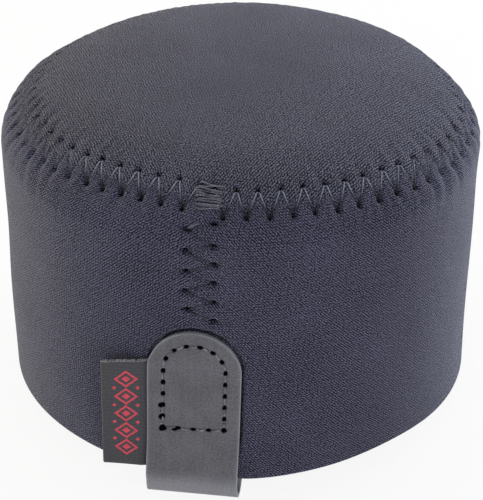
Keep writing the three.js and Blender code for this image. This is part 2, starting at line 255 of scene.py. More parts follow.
# %% [markdown]
# ## How a stitch shapes the cloth
#
# Soft foam shows every stitch three times: a pit where the needle went in, a groove where the
# tight thread lies, and a pucker that runs on past the pit and fades. Each is a smooth bump
# function of the distance to the nearest hole or thread, so thousands of mesh points can be
# shaped at once with arrays. Sculpting would look as good, but it could not be measured or
# repeated.

# %% Relief beside a zigzag
GROOVE_REACH = 0.5 * MM
pucker_strength = dice.uniform(0.45, 1.35, 400)
pucker_reach = dice.uniform(2.2, 5.0, 400) * MM
pucker_lean = dice.normal(0, 0.18, 400)


def distance_to_span(travel, side, start, end):
    """Distance from points to the straight threads between two holes."""
    along = end - start
    size = np.maximum((along**2).sum(axis=-1), 1e-12)
    off_travel = travel - start[..., 0]
    off_side = side - start[..., 1]
    share = np.clip((off_travel * along[..., 0] + off_side * along[..., 1]) / size, 0, 1)
    return np.hypot(off_travel - share * along[..., 0], off_side - share * along[..., 1])


def stitch_marks(travel, side, tips, pit_along, pit_across, pit_beyond):
    """Depth of pit, groove and pucker (each about 0 to 1) at points beside a zigzag.

    pit_along and pit_across are the pit's reach along the seam and across it, and pit_beyond is
    how far it lies beyond its thread's end, because the thread pulls the hole's far side open.
    """
    last = len(tips) - 1
    nearest = np.searchsorted(np.sort(tips[:, 0]), travel)
    pit = np.zeros_like(travel)
    pucker = np.zeros_like(travel)
    to_thread = np.ones_like(travel)
    for neighbour in range(-4, 5):
        index = np.clip(nearest + neighbour, 0, last)
        tip = tips[index]
        off_travel = travel - tip[:, 0]
        beyond = (side - tip[:, 1]) * np.sign(tip[:, 1])
        pit = np.maximum(pit, bell(off_travel, pit_along) * bell(beyond - pit_beyond, pit_across))
        ahead = np.maximum(beyond, 0)
        fade = np.exp(-ahead / pucker_reach[index]) * bell(np.minimum(beyond, 0), MM)
        swing = off_travel - pucker_lean[index] * ahead
        valley = pucker_strength[index] * fade * bell(swing, 0.75 * MM + 0.12 * ahead)
        pucker = np.maximum(pucker, valley)
        following = tips[np.clip(index + 1, 0, last)]
        to_thread = np.minimum(to_thread, distance_to_span(travel, side, tip, following))
    return pit, bell(to_thread, GROOVE_REACH), pucker


# %% [markdown]
# ## The relief of the whole cover
#
# Even where it isn't sewn, foam is never quite true. It has slow waves, it has gone a little out
# of round, its hem wasn't cut quite level, and the tab presses a dent into it. These functions
# give each of them on its own.

# %% Waves, folds and dents
RIM_VALLEY = 0.34 * MM
FINE_FOLDS = 0.05 * MM
TAB_LEAN = 0.028
slow_waves = [(int(dice.integers(2, 9)), dice.uniform(40, 110), dice.uniform(0, 6.28))
              for _ in range(6)]
fold_waves = [(dice.uniform(2.1, 3.4) * MM, dice.uniform(-0.35, 0.35), dice.uniform(0, 6.28))
              for _ in range(4)]


def slow_unevenness(azimuth, distance):
    """Soft waves, and the places where this cap has gone a little out of round."""
    waves = sum(np.sin(turns * azimuth + upward * distance + phase)
                for turns, upward, phase in slow_waves)
    shoulder = bell(distance - seam_distance + 6 * MM, 9 * MM)
    hem = bell(distance, 14 * MM)
    waist = bell(distance - 40 * MM, 13 * MM)
    lumps = (0.5 * near(azimuth, 84, 22) + 0.8 * near(azimuth, -116, 14)) * shoulder
    lumps = lumps + 0.25 * near(azimuth, 70, 18) * hem - 0.55 * near(azimuth, -90, 30) * waist
    return (0.05 * waves + lumps) * MM


def hem_rise(azimuth, distance):
    """The hem was cut a little long beside the tab and a little short to the right of that."""
    cut = 1.1 * near(azimuth, 38, 15) - 0.7 * near(azimuth, 2, 12)
    return cut * MM * ramp(distance, 30 * MM, 0) ** 2


def fine_folds(travel, up):
    """Small folds across the seam, where the zigzag has gathered the knit."""
    folds = sum(np.sin(2 * math.pi * (travel + lean * up) / length + phase)
                for length, lean, phase in fold_waves)
    band = bell(up, 9 * MM) * (1 - 0.75 * bell(up, 2.6 * MM))
    return FINE_FOLDS * band * folds


def rim_valley(up):
    """The seam draws the shoulder in a little."""
    return RIM_VALLEY * bell(up, 4.4 * MM)


def tab_shear(height):
    """The tab was sewn on a little askew, so it leans to the right as it rises."""
    return TAB_LEAN * (height - 1 * MM)


def pressed_by_tab(azimuth, distance):
    """Two shares from 0 to 1: the foam pressed in by the tab, and the crease along its edge."""
    across = turned_from(tab_azimuth, azimuth) * body_radius - tab_shear(distance)
    over_arch_base = distance - (tab_high - tab_half)
    above = np.hypot(np.maximum(over_arch_base, 0), across) - tab_half
    outside = np.where(over_arch_base > 0, above, np.abs(across) - tab_half)
    broad = bell(np.maximum(outside + 0.6 * MM, 0), 1.6 * MM)
    crease = bell(outside - 0.2 * MM, 0.42 * MM) * (distance > 8 * MM)
    return broad, crease


# %% [markdown]
# The unevenness and the marks of both seams are added into one height, outwards positive. The
# outer knit takes all of it, and deeper layers take less. At the left and the right the knit has
# closed over the stitches, so the pits there are shallow and the puckers deep. At the back, the
# stitches show again.

# %% Relief of the cover
RIM_PIT = 1.15 * MM
RIM_GROOVE = 0.36 * MM
RIM_PUCKER = 0.36 * MM
SIDE_PIT = 1.25 * MM
SIDE_GROOVE = 0.16 * MM
SIDE_PUCKER = 0.16 * MM
TAB_PRESS = 0.25 * MM
TAB_CREASE = 0.7 * MM
BARTACK_PRESS = 0.3 * MM


def at_the_sides(azimuth):
    """1 at the left and the right, where the knit has closed over the stitches, else 0."""
    turned = np.degrees(np.abs(turned_from(0, azimuth)))
    return ramp(turned, 42, 58) * ramp(turned, 125, 105)


def rim_travel(azimuth):
    """Distance round the rim seam, counted from behind the bartack."""
    turned = np.mod(azimuth - bartack_azimuth, 2 * math.pi) + bartack_azimuth
    return turned * seam_radius


def side_offset(azimuth):
    """Distance round the wall from the side seam, to the right."""
    return turned_from(side_seam_azimuth, azimuth) * body_radius


def cover_relief(azimuth, distance, seams=1.0):
    """(height, painted shade) of the cover's surface, with the seams' marks scaled by seams."""
    up = distance - seam_distance
    travel = rim_travel(azimuth)
    broad, crease = pressed_by_tab(azimuth, distance)
    height = slow_unevenness(azimuth, distance) * ramp(distance, 115 * MM, 85 * MM)
    height = height - rim_valley(up) - TAB_PRESS * broad - TAB_CREASE * crease

    aside = at_the_sides(azimuth)
    wide = np.where(up < 0, 0.56 * MM, 0.62 * MM)
    pit, groove, pucker = stitch_marks(travel, up, rim_tips, wide, wide, 0.3 * MM)
    marks = RIM_PIT * pit * (1 - 0.65 * aside) + RIM_GROOVE * groove
    marks = marks + RIM_PUCKER * pucker * (1 + 1.3 * aside) - fine_folds(travel, up)
    # Painted shade: the colour is darkened in the pits and in the groove below the rim seam, less at
    # the sides.
    low_groove_shade = groove * ramp(-up, 0.4 * MM, 2 * MM)
    dark = np.maximum(pit * (1 - 0.95 * aside), 0.42 * low_groove_shade * (1 - aside))

    below_rim = ramp(-up, 0, 2 * MM)
    offset = side_offset(azimuth)
    pit, groove, pucker = stitch_marks(distance, offset, side_tips, 0.56 * MM, 1.05 * MM, 0.0)
    marks = marks + below_rim * (SIDE_PIT * pit + SIDE_GROOVE * groove + SIDE_PUCKER * pucker)
    # Painted shade in the side seam's pits and groove.
    dark = np.maximum(dark, below_rim * np.maximum(0.85 * pit, 0.16 * groove))

    across_bartack = np.abs(turned_from(bartack_azimuth, azimuth))
    pressed = ramp(across_bartack, 1.2 * half_bartack, 0.9 * half_bartack)
    pressed = pressed * ramp(np.abs(up - 1.2 * MM), 3.4 * MM, 2.4 * MM)
    marks = marks + BARTACK_PRESS * pressed
    # The crease beside the tab gets painted shade too.
    return height - seams * marks, np.maximum(dark, 0.65 * crease)


# %% [markdown]
# ## Spinning a layer of the sheet
#
# Each layer is a thin closed shell of revolution. Its outline, once up the outside and back down
# the inside, is spun through one sector with the spin operator, and the sector is copied round
# the axis and merged, which is much quicker than one long spin. The crown's outline ends on the
# axis; the wall's sectors stop at the side seam, and its two cut ends are filled. Points are then
# crowded towards the front, where the small stitches are seen closest, and moved by the relief.

# %% Helpers for spun layers
CLOTH_SPAN = 0.4
FRONT_CROWDING = 0.34
SECTORS = 8


def rows(*stretches):
    """Distances along the outer line: (start, end, step) for each stretch."""
    parts = [np.arange(start, end, step) for start, end, step in stretches]
    return [float(value) for value in np.concatenate(parts)] + [stretches[-1][1]]


def spin_outline(outline, closed, steps):
    """A bmesh of a spun outline, whose points are (distance, depth)."""
    bm = bmesh.new()
    distance_layer = bm.verts.layers.float.new("distance")
    depth_layer = bm.verts.layers.float.new("depth")
    slit = butt_gap / 2 / body_radius if closed else 0.0
    profile = []
    for distance, depth in outline:
        vert = bm.verts.new(on_cover(side_seam_azimuth + slit, distance, depth))
        vert[distance_layer] = distance
        vert[depth_layer] = depth
        profile.append(vert)
    for vert, following in zip(profile, profile[1:] + profile[:1]):
        on_axis = max(vert.co.xy.length, following.co.xy.length) < 1e-6
        if not on_axis:
            bm.edges.new((vert, following))
    sector = 2 * (math.pi - slit) / SECTORS
    bmesh.ops.spin(bm, geom=bm.verts[:] + bm.edges[:], cent=(0, 0, 0), axis=(0, 0, 1), angle=sector,
                   steps=steps // SECTORS)
    first_sector = bm.verts[:] + bm.edges[:] + bm.faces[:]
    for number in range(1, SECTORS):
        copied = bmesh.ops.duplicate(bm, geom=first_sector)["geom"]
        moved = [part for part in copied if isinstance(part, bmesh.types.BMVert)]
        turned = Matrix.Rotation(sector * number, 3, "Z")
        bmesh.ops.rotate(bm, cent=(0, 0, 0), matrix=turned, verts=moved)
    bmesh.ops.remove_doubles(bm, verts=bm.verts, dist=1e-6)
    bmesh.ops.holes_fill(bm, edges=[edge for edge in bm.edges if edge.is_boundary])
    bmesh.ops.recalc_face_normals(bm, faces=bm.faces)
    return bm


def vertex_values(mesh, name):
    values = np.zeros(len(mesh.vertices), np.float32)
    mesh.attributes[name].data.foreach_get("value", values)
    return values.astype(float)


def store_values(mesh, name, values):
    layer = mesh.attributes.get(name) or mesh.attributes.new(name, "FLOAT", "POINT")
    layer.data.foreach_set("value", np.asarray(values, np.float32))


def vertex_places(mesh):
    places = np.zeros(len(mesh.vertices) * 3, np.float32)
    mesh.vertices.foreach_get("co", places)
    return places.reshape(-1, 3).astype(float)


def move_vertices(mesh, places):
    mesh.vertices.foreach_set("co", places.astype(np.float32).ravel())


def store_uv(mesh, name, across, up):
    """A UV map from a value across and a value up for each vertex."""
    corners = np.zeros(len(mesh.loops), np.int32)
    mesh.loops.foreach_get("vertex_index", corners)
    layer = mesh.uv_layers.new(name=name)
    layer.data.foreach_set("uv", np.stack([across[corners], up[corners]], axis=1).ravel())


def finished(name, bm_or_mesh):
    """A smooth-shaded object at the origin, from a bmesh or a mesh."""
    mesh = bm_or_mesh
    if isinstance(bm_or_mesh, bmesh.types.BMesh):
        mesh = bpy.data.meshes.new(name)
        bm_or_mesh.to_mesh(mesh)
        bm_or_mesh.free()
    mesh.name = name
    piece = bpy.data.objects.new(name, mesh)
    bpy.context.scene.collection.objects.link(piece)
    mesh.shade_smooth()
    return piece


# %% Shape a spun layer
def wander_share(distance):
    """How much of the seam's wander a place takes: all at the seam, none far from it."""
    up = distance - seam_distance
    return np.minimum(smooth_step(up, -30 * MM, -8 * MM), smooth_step(up, 32 * MM, 6 * MM))


def spun_layer(name, outline, closed, steps, relief_of):
    """A layer of the cover. relief_of gives its height and its painted shade at each point."""
    piece = finished(name, spin_outline(outline, closed, steps))
    mesh = piece.data
    places = vertex_places(mesh)
    distance = vertex_values(mesh, "distance")
    depth = vertex_values(mesh, "depth")
    turn = np.arctan2(places[:, 0], -places[:, 1]) - side_seam_azimuth
    turn = np.mod(turn + 1e-9, 2 * math.pi)
    crowded = turn - FRONT_CROWDING * np.sin(turn)
    azimuth = side_seam_azimuth + crowded
    height, dark = relief_of(azimuth, distance, depth)
    strayed = distance + seam_wander(azimuth) * wander_share(distance) + hem_rise(azimuth, distance)
    move_vertices(mesh, on_cover(azimuth, strayed, depth - height))
    # The painted shade is kept for the material, which darkens the colour with it.
    store_values(mesh, "painted_recess_shade", dark)
    if closed:
        store_uv(mesh, "cloth", crowded * body_radius / CLOTH_SPAN, distance / CLOTH_SPAN)
    else:
        reach = (cut_length - distance) / CLOTH_SPAN
        store_uv(mesh, "cloth", 0.5 + reach * np.sin(azimuth), 0.5 - reach * np.cos(azimuth))
    mesh.update()
    triangles = sum(len(face.vertices) - 2 for face in mesh.polygons)
    print(name, len(mesh.vertices), "points,", triangles, "triangles")
    return piece


def shell_outline(outer_rows, inner_rows, outer_depth, inner_depth):
    """Up the outside and back down the inside, as (distance, depth)."""
    outside = [(distance, outer_depth) for distance in outer_rows]
    inside = [(distance, inner_depth) for distance in reversed(inner_rows)]
    return outside + inside


# %% [markdown]
# ## The knit face
#
# The knit is 0.5 mm thick, so it is a real shell with a cut edge at the hem. Its outside has
# rows less than half a millimetre apart where it is sewn and about 3 mm apart where it is plain,
# which keeps each piece under 200,000 triangles. Its hidden inner skin is pushed clear of the
# pits.

# %% Wall and crown, knit face
KNIT_CLEAR = 1.5 * MM
wall_end = seam_distance - butt_gap / 2
crown_start = seam_distance + butt_gap / 2


def under_stitches(azimuth, distance):
    """1 under the two seams, where the hidden skins have to keep clear of the pits, else 0."""
    near_rim = np.exp(-(((distance - seam_distance) / (13 * MM)) ** 4))
    above_tab = ramp(distance, side_seam_low - 4 * MM, side_seam_low - 1 * MM)
    near_side = np.exp(-((side_offset(azimuth) / (9 * MM)) ** 4)) * above_tab
    return np.maximum(near_rim, near_side * (distance < seam_distance))


def face_relief(azimuth, distance, depth):
    height, dark = cover_relief(azimuth, distance)
    smooth = cover_relief(azimuth, distance, seams=0.0)[0]
    hidden = smooth - KNIT_CLEAR * under_stitches(azimuth, distance)
    return np.where(depth > 0, hidden, height), dark


wall_rows = rows((0, 1.2 * MM, 0.4 * MM), (1.2 * MM, 30 * MM, 3 * MM),
                 (30 * MM, wall_end, 0.44 * MM))
wall_back_rows = rows((0, 40 * MM, 8 * MM), (40 * MM, wall_end, 4 * MM))
wall_face = spun_layer("wall_knit_face", shell_outline(wall_rows, wall_back_rows, *face_depths),
                       True, 704, face_relief)

crown_rows = rows((crown_start, seam_distance + 11 * MM, 0.43 * MM),
                  (seam_distance + 11 * MM, seam_distance + 20 * MM, 1.1 * MM),
                  (seam_distance + 20 * MM, cut_length, 3.4 * MM))
crown_back_rows = rows((crown_start, cut_length, 5 * MM))
crown_face = spun_layer("crown_knit_face", shell_outline(crown_rows, crown_back_rows, *face_depths),
                        False, 760, face_relief)

# %% [markdown]
# ## Foam and lining
#
# The foam shows only as the cut edge of the hem, and the lining only from below. The foam's
# hidden skins are drawn clear of the stitches above and below them, so a coarse mesh does. The
# lining has the bobbin side of the same seams, with shallower marks that press outwards into the
# foam.

# %% Wall and crown, foam core
FOAM_CLEAR_ABOVE = 1.6 * MM
FOAM_CLEAR_BELOW = 0.6 * MM


def foam_relief(azimuth, distance, depth):
    height = cover_relief(azimuth, distance, seams=0.0)[0]
    outer = depth < sum(foam_depths) / 2
    clear = np.where(outer, -FOAM_CLEAR_ABOVE, FOAM_CLEAR_BELOW)
    return height + clear * under_stitches(azimuth, distance), np.zeros_like(height)


foam_wall_rows = rows((0, 1 * MM, 0.5 * MM), (1 * MM, 40 * MM, 6 * MM),
                      (40 * MM, wall_end, 1.6 * MM))
foam_crown_rows = rows((crown_start, seam_distance + 16 * MM, 1.6 * MM),
                       (seam_distance + 16 * MM, cut_length, 4 * MM))
wall_foam_outline = shell_outline(foam_wall_rows, foam_wall_rows, *foam_depths)
wall_foam = spun_layer("wall_foam_core", wall_foam_outline, True, 300, foam_relief)
crown_foam_outline = shell_outline(foam_crown_rows, foam_crown_rows, *foam_depths)
crown_foam = spun_layer("crown_foam_core", crown_foam_outline, False, 300, foam_relief)

# %% Wall and crown, knit lining
LINING_MARKS = 0.4
lining_wall_rows = rows((0, 40 * MM, 4 * MM), (40 * MM, wall_end, 0.9 * MM))
lining_crown_rows = rows((crown_start, seam_distance + 12 * MM, 0.9 * MM),
                         (seam_distance + 12 * MM, cut_length, 3 * MM))


def lining_relief(azimuth, distance, depth):
    return cover_relief(azimuth, distance, seams=-LINING_MARKS)


def crown_lining_side(side):
    """One side of the crown's lining, as (distance, depth). It steps down under the panel."""
    panel_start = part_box("crown_impact_panel")[1].x
    radius = np.interp(lining_crown_rows, line_distance, line_radius)
    share = ramp(radius, panel_start + 2.2 * MM, panel_start + 0.2 * MM)
    step = crown_lining_depths[side] - lining_depths[side]
    return list(zip(lining_crown_rows, lining_depths[side] + step * share))


wall_lining_outline = shell_outline(lining_wall_rows, lining_wall_rows, *lining_depths)
wall_lining = spun_layer("wall_knit_lining", wall_lining_outline, True, 480, lining_relief)
crown_lining_outline = crown_lining_side(0) + crown_lining_side(1)[::-1]
crown_lining = spun_layer("crown_knit_lining", crown_lining_outline, False, 480, lining_relief)

# %% [markdown]
# ## Sewing thread
#
# The thread is two plies twisted together. A curve with a bevel object makes it: the section is
# a small peanut shape, and the tilt of each curve point turns it a little further, which winds
# the two lobes into a twist. Each stitch is a run of its own whose ends dive into the needle's
# holes, so no run has to turn back on itself. The curve is then turned into a mesh.

# %% Thread section and runs
TWIST_PITCH = 1.7 * MM
SECTION_CORNERS = 8


def added_object(name, data):
    made = bpy.data.objects.new(name, data)
    bpy.context.scene.collection.objects.link(made)
    return made


def evaluated_mesh(piece):
    """The mesh that an object's curve or modifiers make. The object itself is removed."""
    evaluated = piece.evaluated_get(bpy.context.evaluated_depsgraph_get())
    mesh = bpy.data.meshes.new_from_object(evaluated)
    bpy.data.objects.remove(piece)
    return mesh


def peanut_section(radius):
    data = bpy.data.curves.new("thread_section", "CURVE")
    data.dimensions = "2D"
    spline = data.splines.new("POLY")
    spline.points.add(SECTION_CORNERS - 1)
    for index, point in enumerate(spline.points):
        angle = 2 * math.pi * index / SECTION_CORNERS
        reach = radius * (0.86 + 0.17 * math.cos(2 * angle))
        point.co = (reach * math.cos(angle), reach * math.sin(angle), 0, 1)
    spline.use_cyclic_u = True
    return added_object("thread_section", data)


def resampled(run, step):
    """The same run with points a step apart, and their distances along it."""
    lengths = np.linalg.norm(np.diff(run, axis=0), axis=1)
    travelled = np.concatenate([[0], np.cumsum(lengths)])
    count = max(3, round(travelled[-1] / step) + 1)
    spaced = np.linspace(0, travelled[-1], count)
    points = [np.interp(spaced, travelled, run[:, axis]) for axis in range(3)]
    return np.stack(points, axis=1), spaced


def sewn_thread(name, runs, radius, step):
    """One piece of twisted thread from several runs of points."""
    data = bpy.data.curves.new(name, "CURVE")
    data.dimensions = "3D"
    data.bevel_mode = "OBJECT"
    data.bevel_object = peanut_section(radius)
    data.use_fill_caps = True
    for run in runs:
        points, spaced = resampled(run, step)
        spline = data.splines.new("POLY")
        spline.points.add(len(points) - 1)
        spline.points.foreach_set("co", np.column_stack([points, np.ones(len(points))]).ravel())
        spline.points.foreach_set("tilt", 2 * math.pi * spaced / TWIST_PITCH)
    mesh = evaluated_mesh(added_object(name + "_curve", data))
    bpy.data.objects.remove(data.bevel_object)
    bm = bmesh.new()
    bm.from_mesh(mesh)
    bmesh.ops.recalc_face_normals(bm, faces=bm.faces)
    bpy.data.meshes.remove(mesh)
    print(name, len(bm.faces), "faces in", len(runs), "runs")
    return finished(name, bm)


def dive(ends, plunge, lift, sag):
    """Lift of a thread over the cloth, at distances from its nearer end."""
    return lift - sag * ramp(ends, 0, 2.5 * MM) - (plunge + lift) * bell(ends, 0.55 * MM)


# %% [markdown]
# The seams' runs are laid over the same line as the cloth, at the holes planned above, so a
# thread always ends in a pit and lies in its groove. The bobbin thread is the same run under
# the lining. At the left and the right the needle thread lies deeper, sunk into the knit.

# %% Rim seam and side seam, needle and bobbin thread
FINE_STEP = 0.27 * MM
HIDDEN_STEP = 0.5 * MM
HOLE_OFFSET = 0.16 * MM
SUNK_DEPTH = 0.24 * MM


def seam_runs(tips, place, lift, plunge, inside=False, tilt=0.0, sunk=0.0, short=0.0):
    """A run for each stitch between two needle holes. tilt raises the upper ends."""
    runs = []
    share = np.linspace(0, 1, 28)
    for start, end in zip(tips[:-1], tips[1:]):
        span = end - start
        length = np.linalg.norm(span)
        apart = np.array([math.copysign(HOLE_OFFSET, span[0]), 0]) + short * span / length
        flat = start + apart + (span - 2 * apart) * share[:, None]
        over = dive(length * np.minimum(share, 1 - share), plunge, lift, 0.1 * MM)
        over = over + tilt * flat[:, 1] / zigzag_half
        over = over - sunk * at_the_sides(flat[:, 0] / seam_radius)
        runs.append(place(flat[:, 0], flat[:, 1], laminate + over if inside else -over))
    return runs


def needle_runs(tips, place, **more):
    return seam_runs(tips, place, -0.03 * MM, 1.1 * MM, **more)


def bobbin_runs(tips, place):
    return seam_runs(tips, place, 0.12 * MM, 0.5 * MM, inside=True)


def on_rim_seam(travel, up, depth):
    azimuth = travel / seam_radius
    distance = seam_distance + up + seam_wander(azimuth)
    return on_cover(azimuth, distance, depth + rim_valley(up))


def on_side_seam(travel, offset, depth):
    azimuth = side_seam_azimuth + offset / body_radius
    distance = travel + seam_wander(azimuth) * wander_share(travel)
    return on_cover(azimuth, distance, depth)


def painted_highlight_share(piece):
    """How much painted highlight the rim's thread gets: 1 on the upper part of a stitch, 0 low down,
    a little at the sides.
    """
    places = vertex_places(piece.data)
    azimuth = np.arctan2(places[:, 0], -places[:, 1])
    middle = on_rim_seam(azimuth * seam_radius, 0.0, 0.0)
    share = ramp(places[:, 2] - middle[:, 2], -1.1 * MM, 0.8 * MM)
    aside = at_the_sides(azimuth)
    return share * (1 - aside) + 0.2 * aside


rim_runs = needle_runs(rim_tips, on_rim_seam, tilt=0.18 * MM, sunk=SUNK_DEPTH)
rim_needle = sewn_thread("rim_zigzag_needle_thread", rim_runs, thread_radius, FINE_STEP)
store_values(rim_needle.data, "painted_highlight_share", painted_highlight_share(rim_needle))
rim_bobbin = sewn_thread("rim_zigzag_bobbin_thread", bobbin_runs(rim_tips, on_rim_seam),
                         thread_radius, HIDDEN_STEP)
side_runs = needle_runs(side_tips[:-1], on_side_seam, short=0.5 * MM)
side_needle = sewn_thread("side_zigzag_needle_thread", side_runs, thread_radius, FINE_STEP)
side_bobbin = sewn_thread("side_zigzag_bobbin_thread", bobbin_runs(side_tips, on_side_seam),
                          thread_radius, HIDDEN_STEP)

# %% [markdown]
# The bartack is one thread laid to and fro in close rows over the seam's two ends. Real rows are
# pulled a little out of true, so each row's ends and height get a small seeded error. A tail of
# the same thread leads down to the side seam.

# %% Bartack
bartack_rows = 11
bartack_middle = math.radians(-7.3)
bartack_left = (-1.5 * MM, 4.9 * MM)
bartack_right = (-1.6 * MM, 3.9 * MM)


def bartack_runs(lift, inside):
    errors = np.random.default_rng(5)
    runs = []
    share = np.linspace(0, 1, 26)
    for row in range(bartack_rows):
        level = row / (bartack_rows - 1)
        left = -bartack_width / 2 + errors.normal(0, 0.3 * MM)
        right = bartack_width / 2 + errors.normal(0, 0.3 * MM)
        azimuth = bartack_middle + (left + (right - left) * share) / seam_radius
        low = bartack_left[0] * (1 - share) + bartack_right[0] * share
        high = bartack_left[1] * (1 - share) + bartack_right[1] * share
        wave = np.sin(6 * share + 6 * errors.random())
        sway = errors.normal(0, 0.1 * MM) + errors.normal(0, 0.16 * MM) * wave
        up = low + (high - low) * level + sway
        ends = (right - left) * np.minimum(share, 1 - share)
        over = dive(ends, 0.8 * MM, lift + errors.uniform(-0.2, 0.1) * MM, 0.03 * MM)
        depth = laminate + over if inside else -over
        runs.append(on_cover(azimuth, seam_distance + up, depth + rim_valley(up)))
    return runs


tail_tips = side_tips[-2:].copy()
tail_tips[np.argmax(tail_tips[:, 1]), 1] = 0.3 * MM
bartack_tail = seam_runs(tail_tips, on_side_seam, 0.12 * MM, 1.0 * MM)
bartack_needle = sewn_thread("bartack_rows_needle_thread",
                             bartack_runs(0.3 * MM, False) + bartack_tail, 0.27 * MM, 0.25 * MM)
bartack_bobbin = sewn_thread("bartack_rows_bobbin_thread", bartack_runs(0.12 * MM, True),
                             0.29 * MM, HIDDEN_STEP)

# %% [markdown]
# ## The leather pull tab
#
# The tab is one strip of leather, round at both ends, folded over the hem and sewn through. It
# starts as a flat circle whose lower half is pulled down into a strip, and is cut across and
# along into small cells with bisect_plane, so that it can bend. Bending it is then one mapping:
# a place on the flat strip becomes a place on its path. Solidify and a small bevel give it the
# thickness and softly worn edges of cut leather.

# %% Path of the strip
LEG_OFFSET = 3.5 * MM
SEWN_FROM = 8 * MM
FREE_BELOW = 0.5 * MM
tab_front_radius = body_radius - TAB_PRESS + 0.1 * MM + tab_thickness / 2
tab_back_radius = body_radius - laminate - 0.15 * MM - tab_thickness / 2


def joint_place(name):
    return Vector(next(joint for joint in frame["joints"] if joint["name"] == name)["pos_m"])


hinge = joint_place("pull_fold_swing")
hinge_radius = math.hypot(hinge.x, hinge.y)
fold_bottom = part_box("tab_loop")[0].z - hem_level - 0.35 * MM
fold_top = hinge.z - hem_level - 2.07 * MM
fold_depth = fold_top - fold_bottom - tab_thickness / 2


def strip_path():
    """Radius and height of the strip's middle, from the front arch round the fold to the back."""
    fold = np.linspace(0, math.pi, 40)
    radius = np.concatenate([
        [tab_front_radius, tab_front_radius, hinge_radius + LEG_OFFSET],
        hinge_radius + LEG_OFFSET * np.cos(fold),
        [hinge_radius - LEG_OFFSET, tab_back_radius, tab_back_radius],
    ])
    height = np.concatenate([
        [tab_high, SEWN_FROM, FREE_BELOW],
        fold_top - fold_depth * np.sin(fold),
        [FREE_BELOW, SEWN_FROM, tab_high],
    ])
    travelled = np.concatenate([[0], np.cumsum(np.hypot(np.diff(radius), np.diff(height)))])
    return travelled, radius, height


path_travel, path_radius, path_height = strip_path()
strip_length = float(path_travel[-1])
print("leather strip", round(2 * tab_half / MM, 1), "x", round(strip_length / MM, 1), "mm")

# %% [markdown]
# The strip's ends are a little more pointed than half circles, which a power below 2 gives. It
# is raised slightly where the label is caught under it. Above the hem it bends round the wall,
# and in the fold it is flat.

# %% Cut the strip and bend it
FINE_CELL = 0.36 * MM
PLAIN_CELL = 0.8 * MM
FOLD_SKEW = 0.55 * MM
label_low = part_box("label_margin")[0].z - hem_level - 0.5 * MM
label_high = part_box("label_margin")[1].z - hem_level - 0.8 * MM
LABEL_LIFT = 0.62 * MM
BOX_BASE = 14.2 * MM
ARCH_POWER = 1.88


def flat_strip():
    """The strip before it is bent: x across, y from 0 at the front tip down to its length."""
    bm = bmesh.new()
    bmesh.ops.create_circle(bm, cap_ends=True, segments=96, radius=tab_half)
    for vert in bm.verts:
        x, y = (abs(value / tab_half) ** (2 / ARCH_POWER) for value in vert.co.xy)
        vert.co.xy = (math.copysign(x, vert.co.x) * tab_half, math.copysign(y, vert.co.y) * tab_half)
    bmesh.ops.translate(bm, vec=(0, -tab_half, 0), verts=bm.verts)
    lower = [vert for vert in bm.verts if vert.co.y < -tab_half - 1e-6]
    bmesh.ops.translate(bm, vec=(0, -(strip_length - 2 * tab_half), 0), verts=lower)
    fine = np.arange(0, tab_high - BOX_BASE + 2 * MM, FINE_CELL)
    plain = np.arange(fine[-1] + PLAIN_CELL, strip_length - fine[-1], PLAIN_CELL)
    lengthways = [((0, 1, 0), -place) for place in [*fine[1:], *plain, *(strip_length - fine[1:])]]
    crossways = [((1, 0, 0), place) for place in np.arange(FINE_CELL - tab_half, tab_half, FINE_CELL)]
    for axis, place in lengthways + crossways:
        everything = bm.verts[:] + bm.edges[:] + bm.faces[:]
        bmesh.ops.bisect_plane(bm, geom=everything, plane_co=Vector(axis) * float(place),
                               plane_no=axis, dist=1e-6)
    return bm


def on_strip(across, travel, lift=0.0):
    """Points of the bent strip from their place on the flat strip. lift is off its outer face."""
    radius = np.interp(travel, path_travel, path_radius)
    height = np.interp(travel, path_travel, path_height)
    front = travel < strip_length / 2
    over_label = smooth_step(height, label_low - 2.5 * MM, label_low)
    over_label = over_label * smooth_step(height, label_high + 2 * MM, label_high)
    over_label = over_label * smooth_step(across, -5 * MM, -8.2 * MM) * front
    radius = radius + LABEL_LIFT * over_label + np.where(front, lift, -lift)
    across = across + tab_shear(height)
    angle = across / np.where(front, tab_front_radius, tab_back_radius)
    wrapped = smooth_step(height, 1 * MM, 14 * MM)
    low = smooth_step(height, 10 * MM, -5 * MM)
    flat_radial = radius - FOLD_SKEW * low * across / tab_half
    x = wrapped * radius * np.sin(angle) + (1 - wrapped) * across
    radial = wrapped * radius * np.cos(angle) + (1 - wrapped) * flat_radial
    east = x * math.cos(tab_azimuth) + radial * math.sin(tab_azimuth)
    north = x * math.sin(tab_azimuth) - radial * math.cos(tab_azimuth)
    return np.stack(np.broadcast_arrays(east, north, height + hem_level), axis=-1)


# %% [markdown]
# The box stitch is a D: two straight sides, a flat base and a half circle on top. Its stitches
# are separate dashes, because in leather the needle's holes stay open and swallow the thread's
# ends. At the lower left the sewer went over the start again, so a second row lies beside it.

# %% Box stitch plan
BOX_INSET = 3.75 * MM
BOX_PITCH = 3.4 * MM
BASE_TILT = 0.3 * MM


def box_outline():
    """Closed outline of the box stitch as (across, height), from its lower left corner."""
    half = tab_half - BOX_INSET
    top = tab_high - BOX_INSET - half
    arc = np.linspace(math.pi, 0, 40)
    left = [BOX_BASE - BASE_TILT]
    across = np.concatenate([[-half], half * np.cos(arc), [half, -half]])
    height = np.concatenate([left, top + half * np.sin(arc), [BOX_BASE + BASE_TILT], left])
    return np.column_stack([across, height])


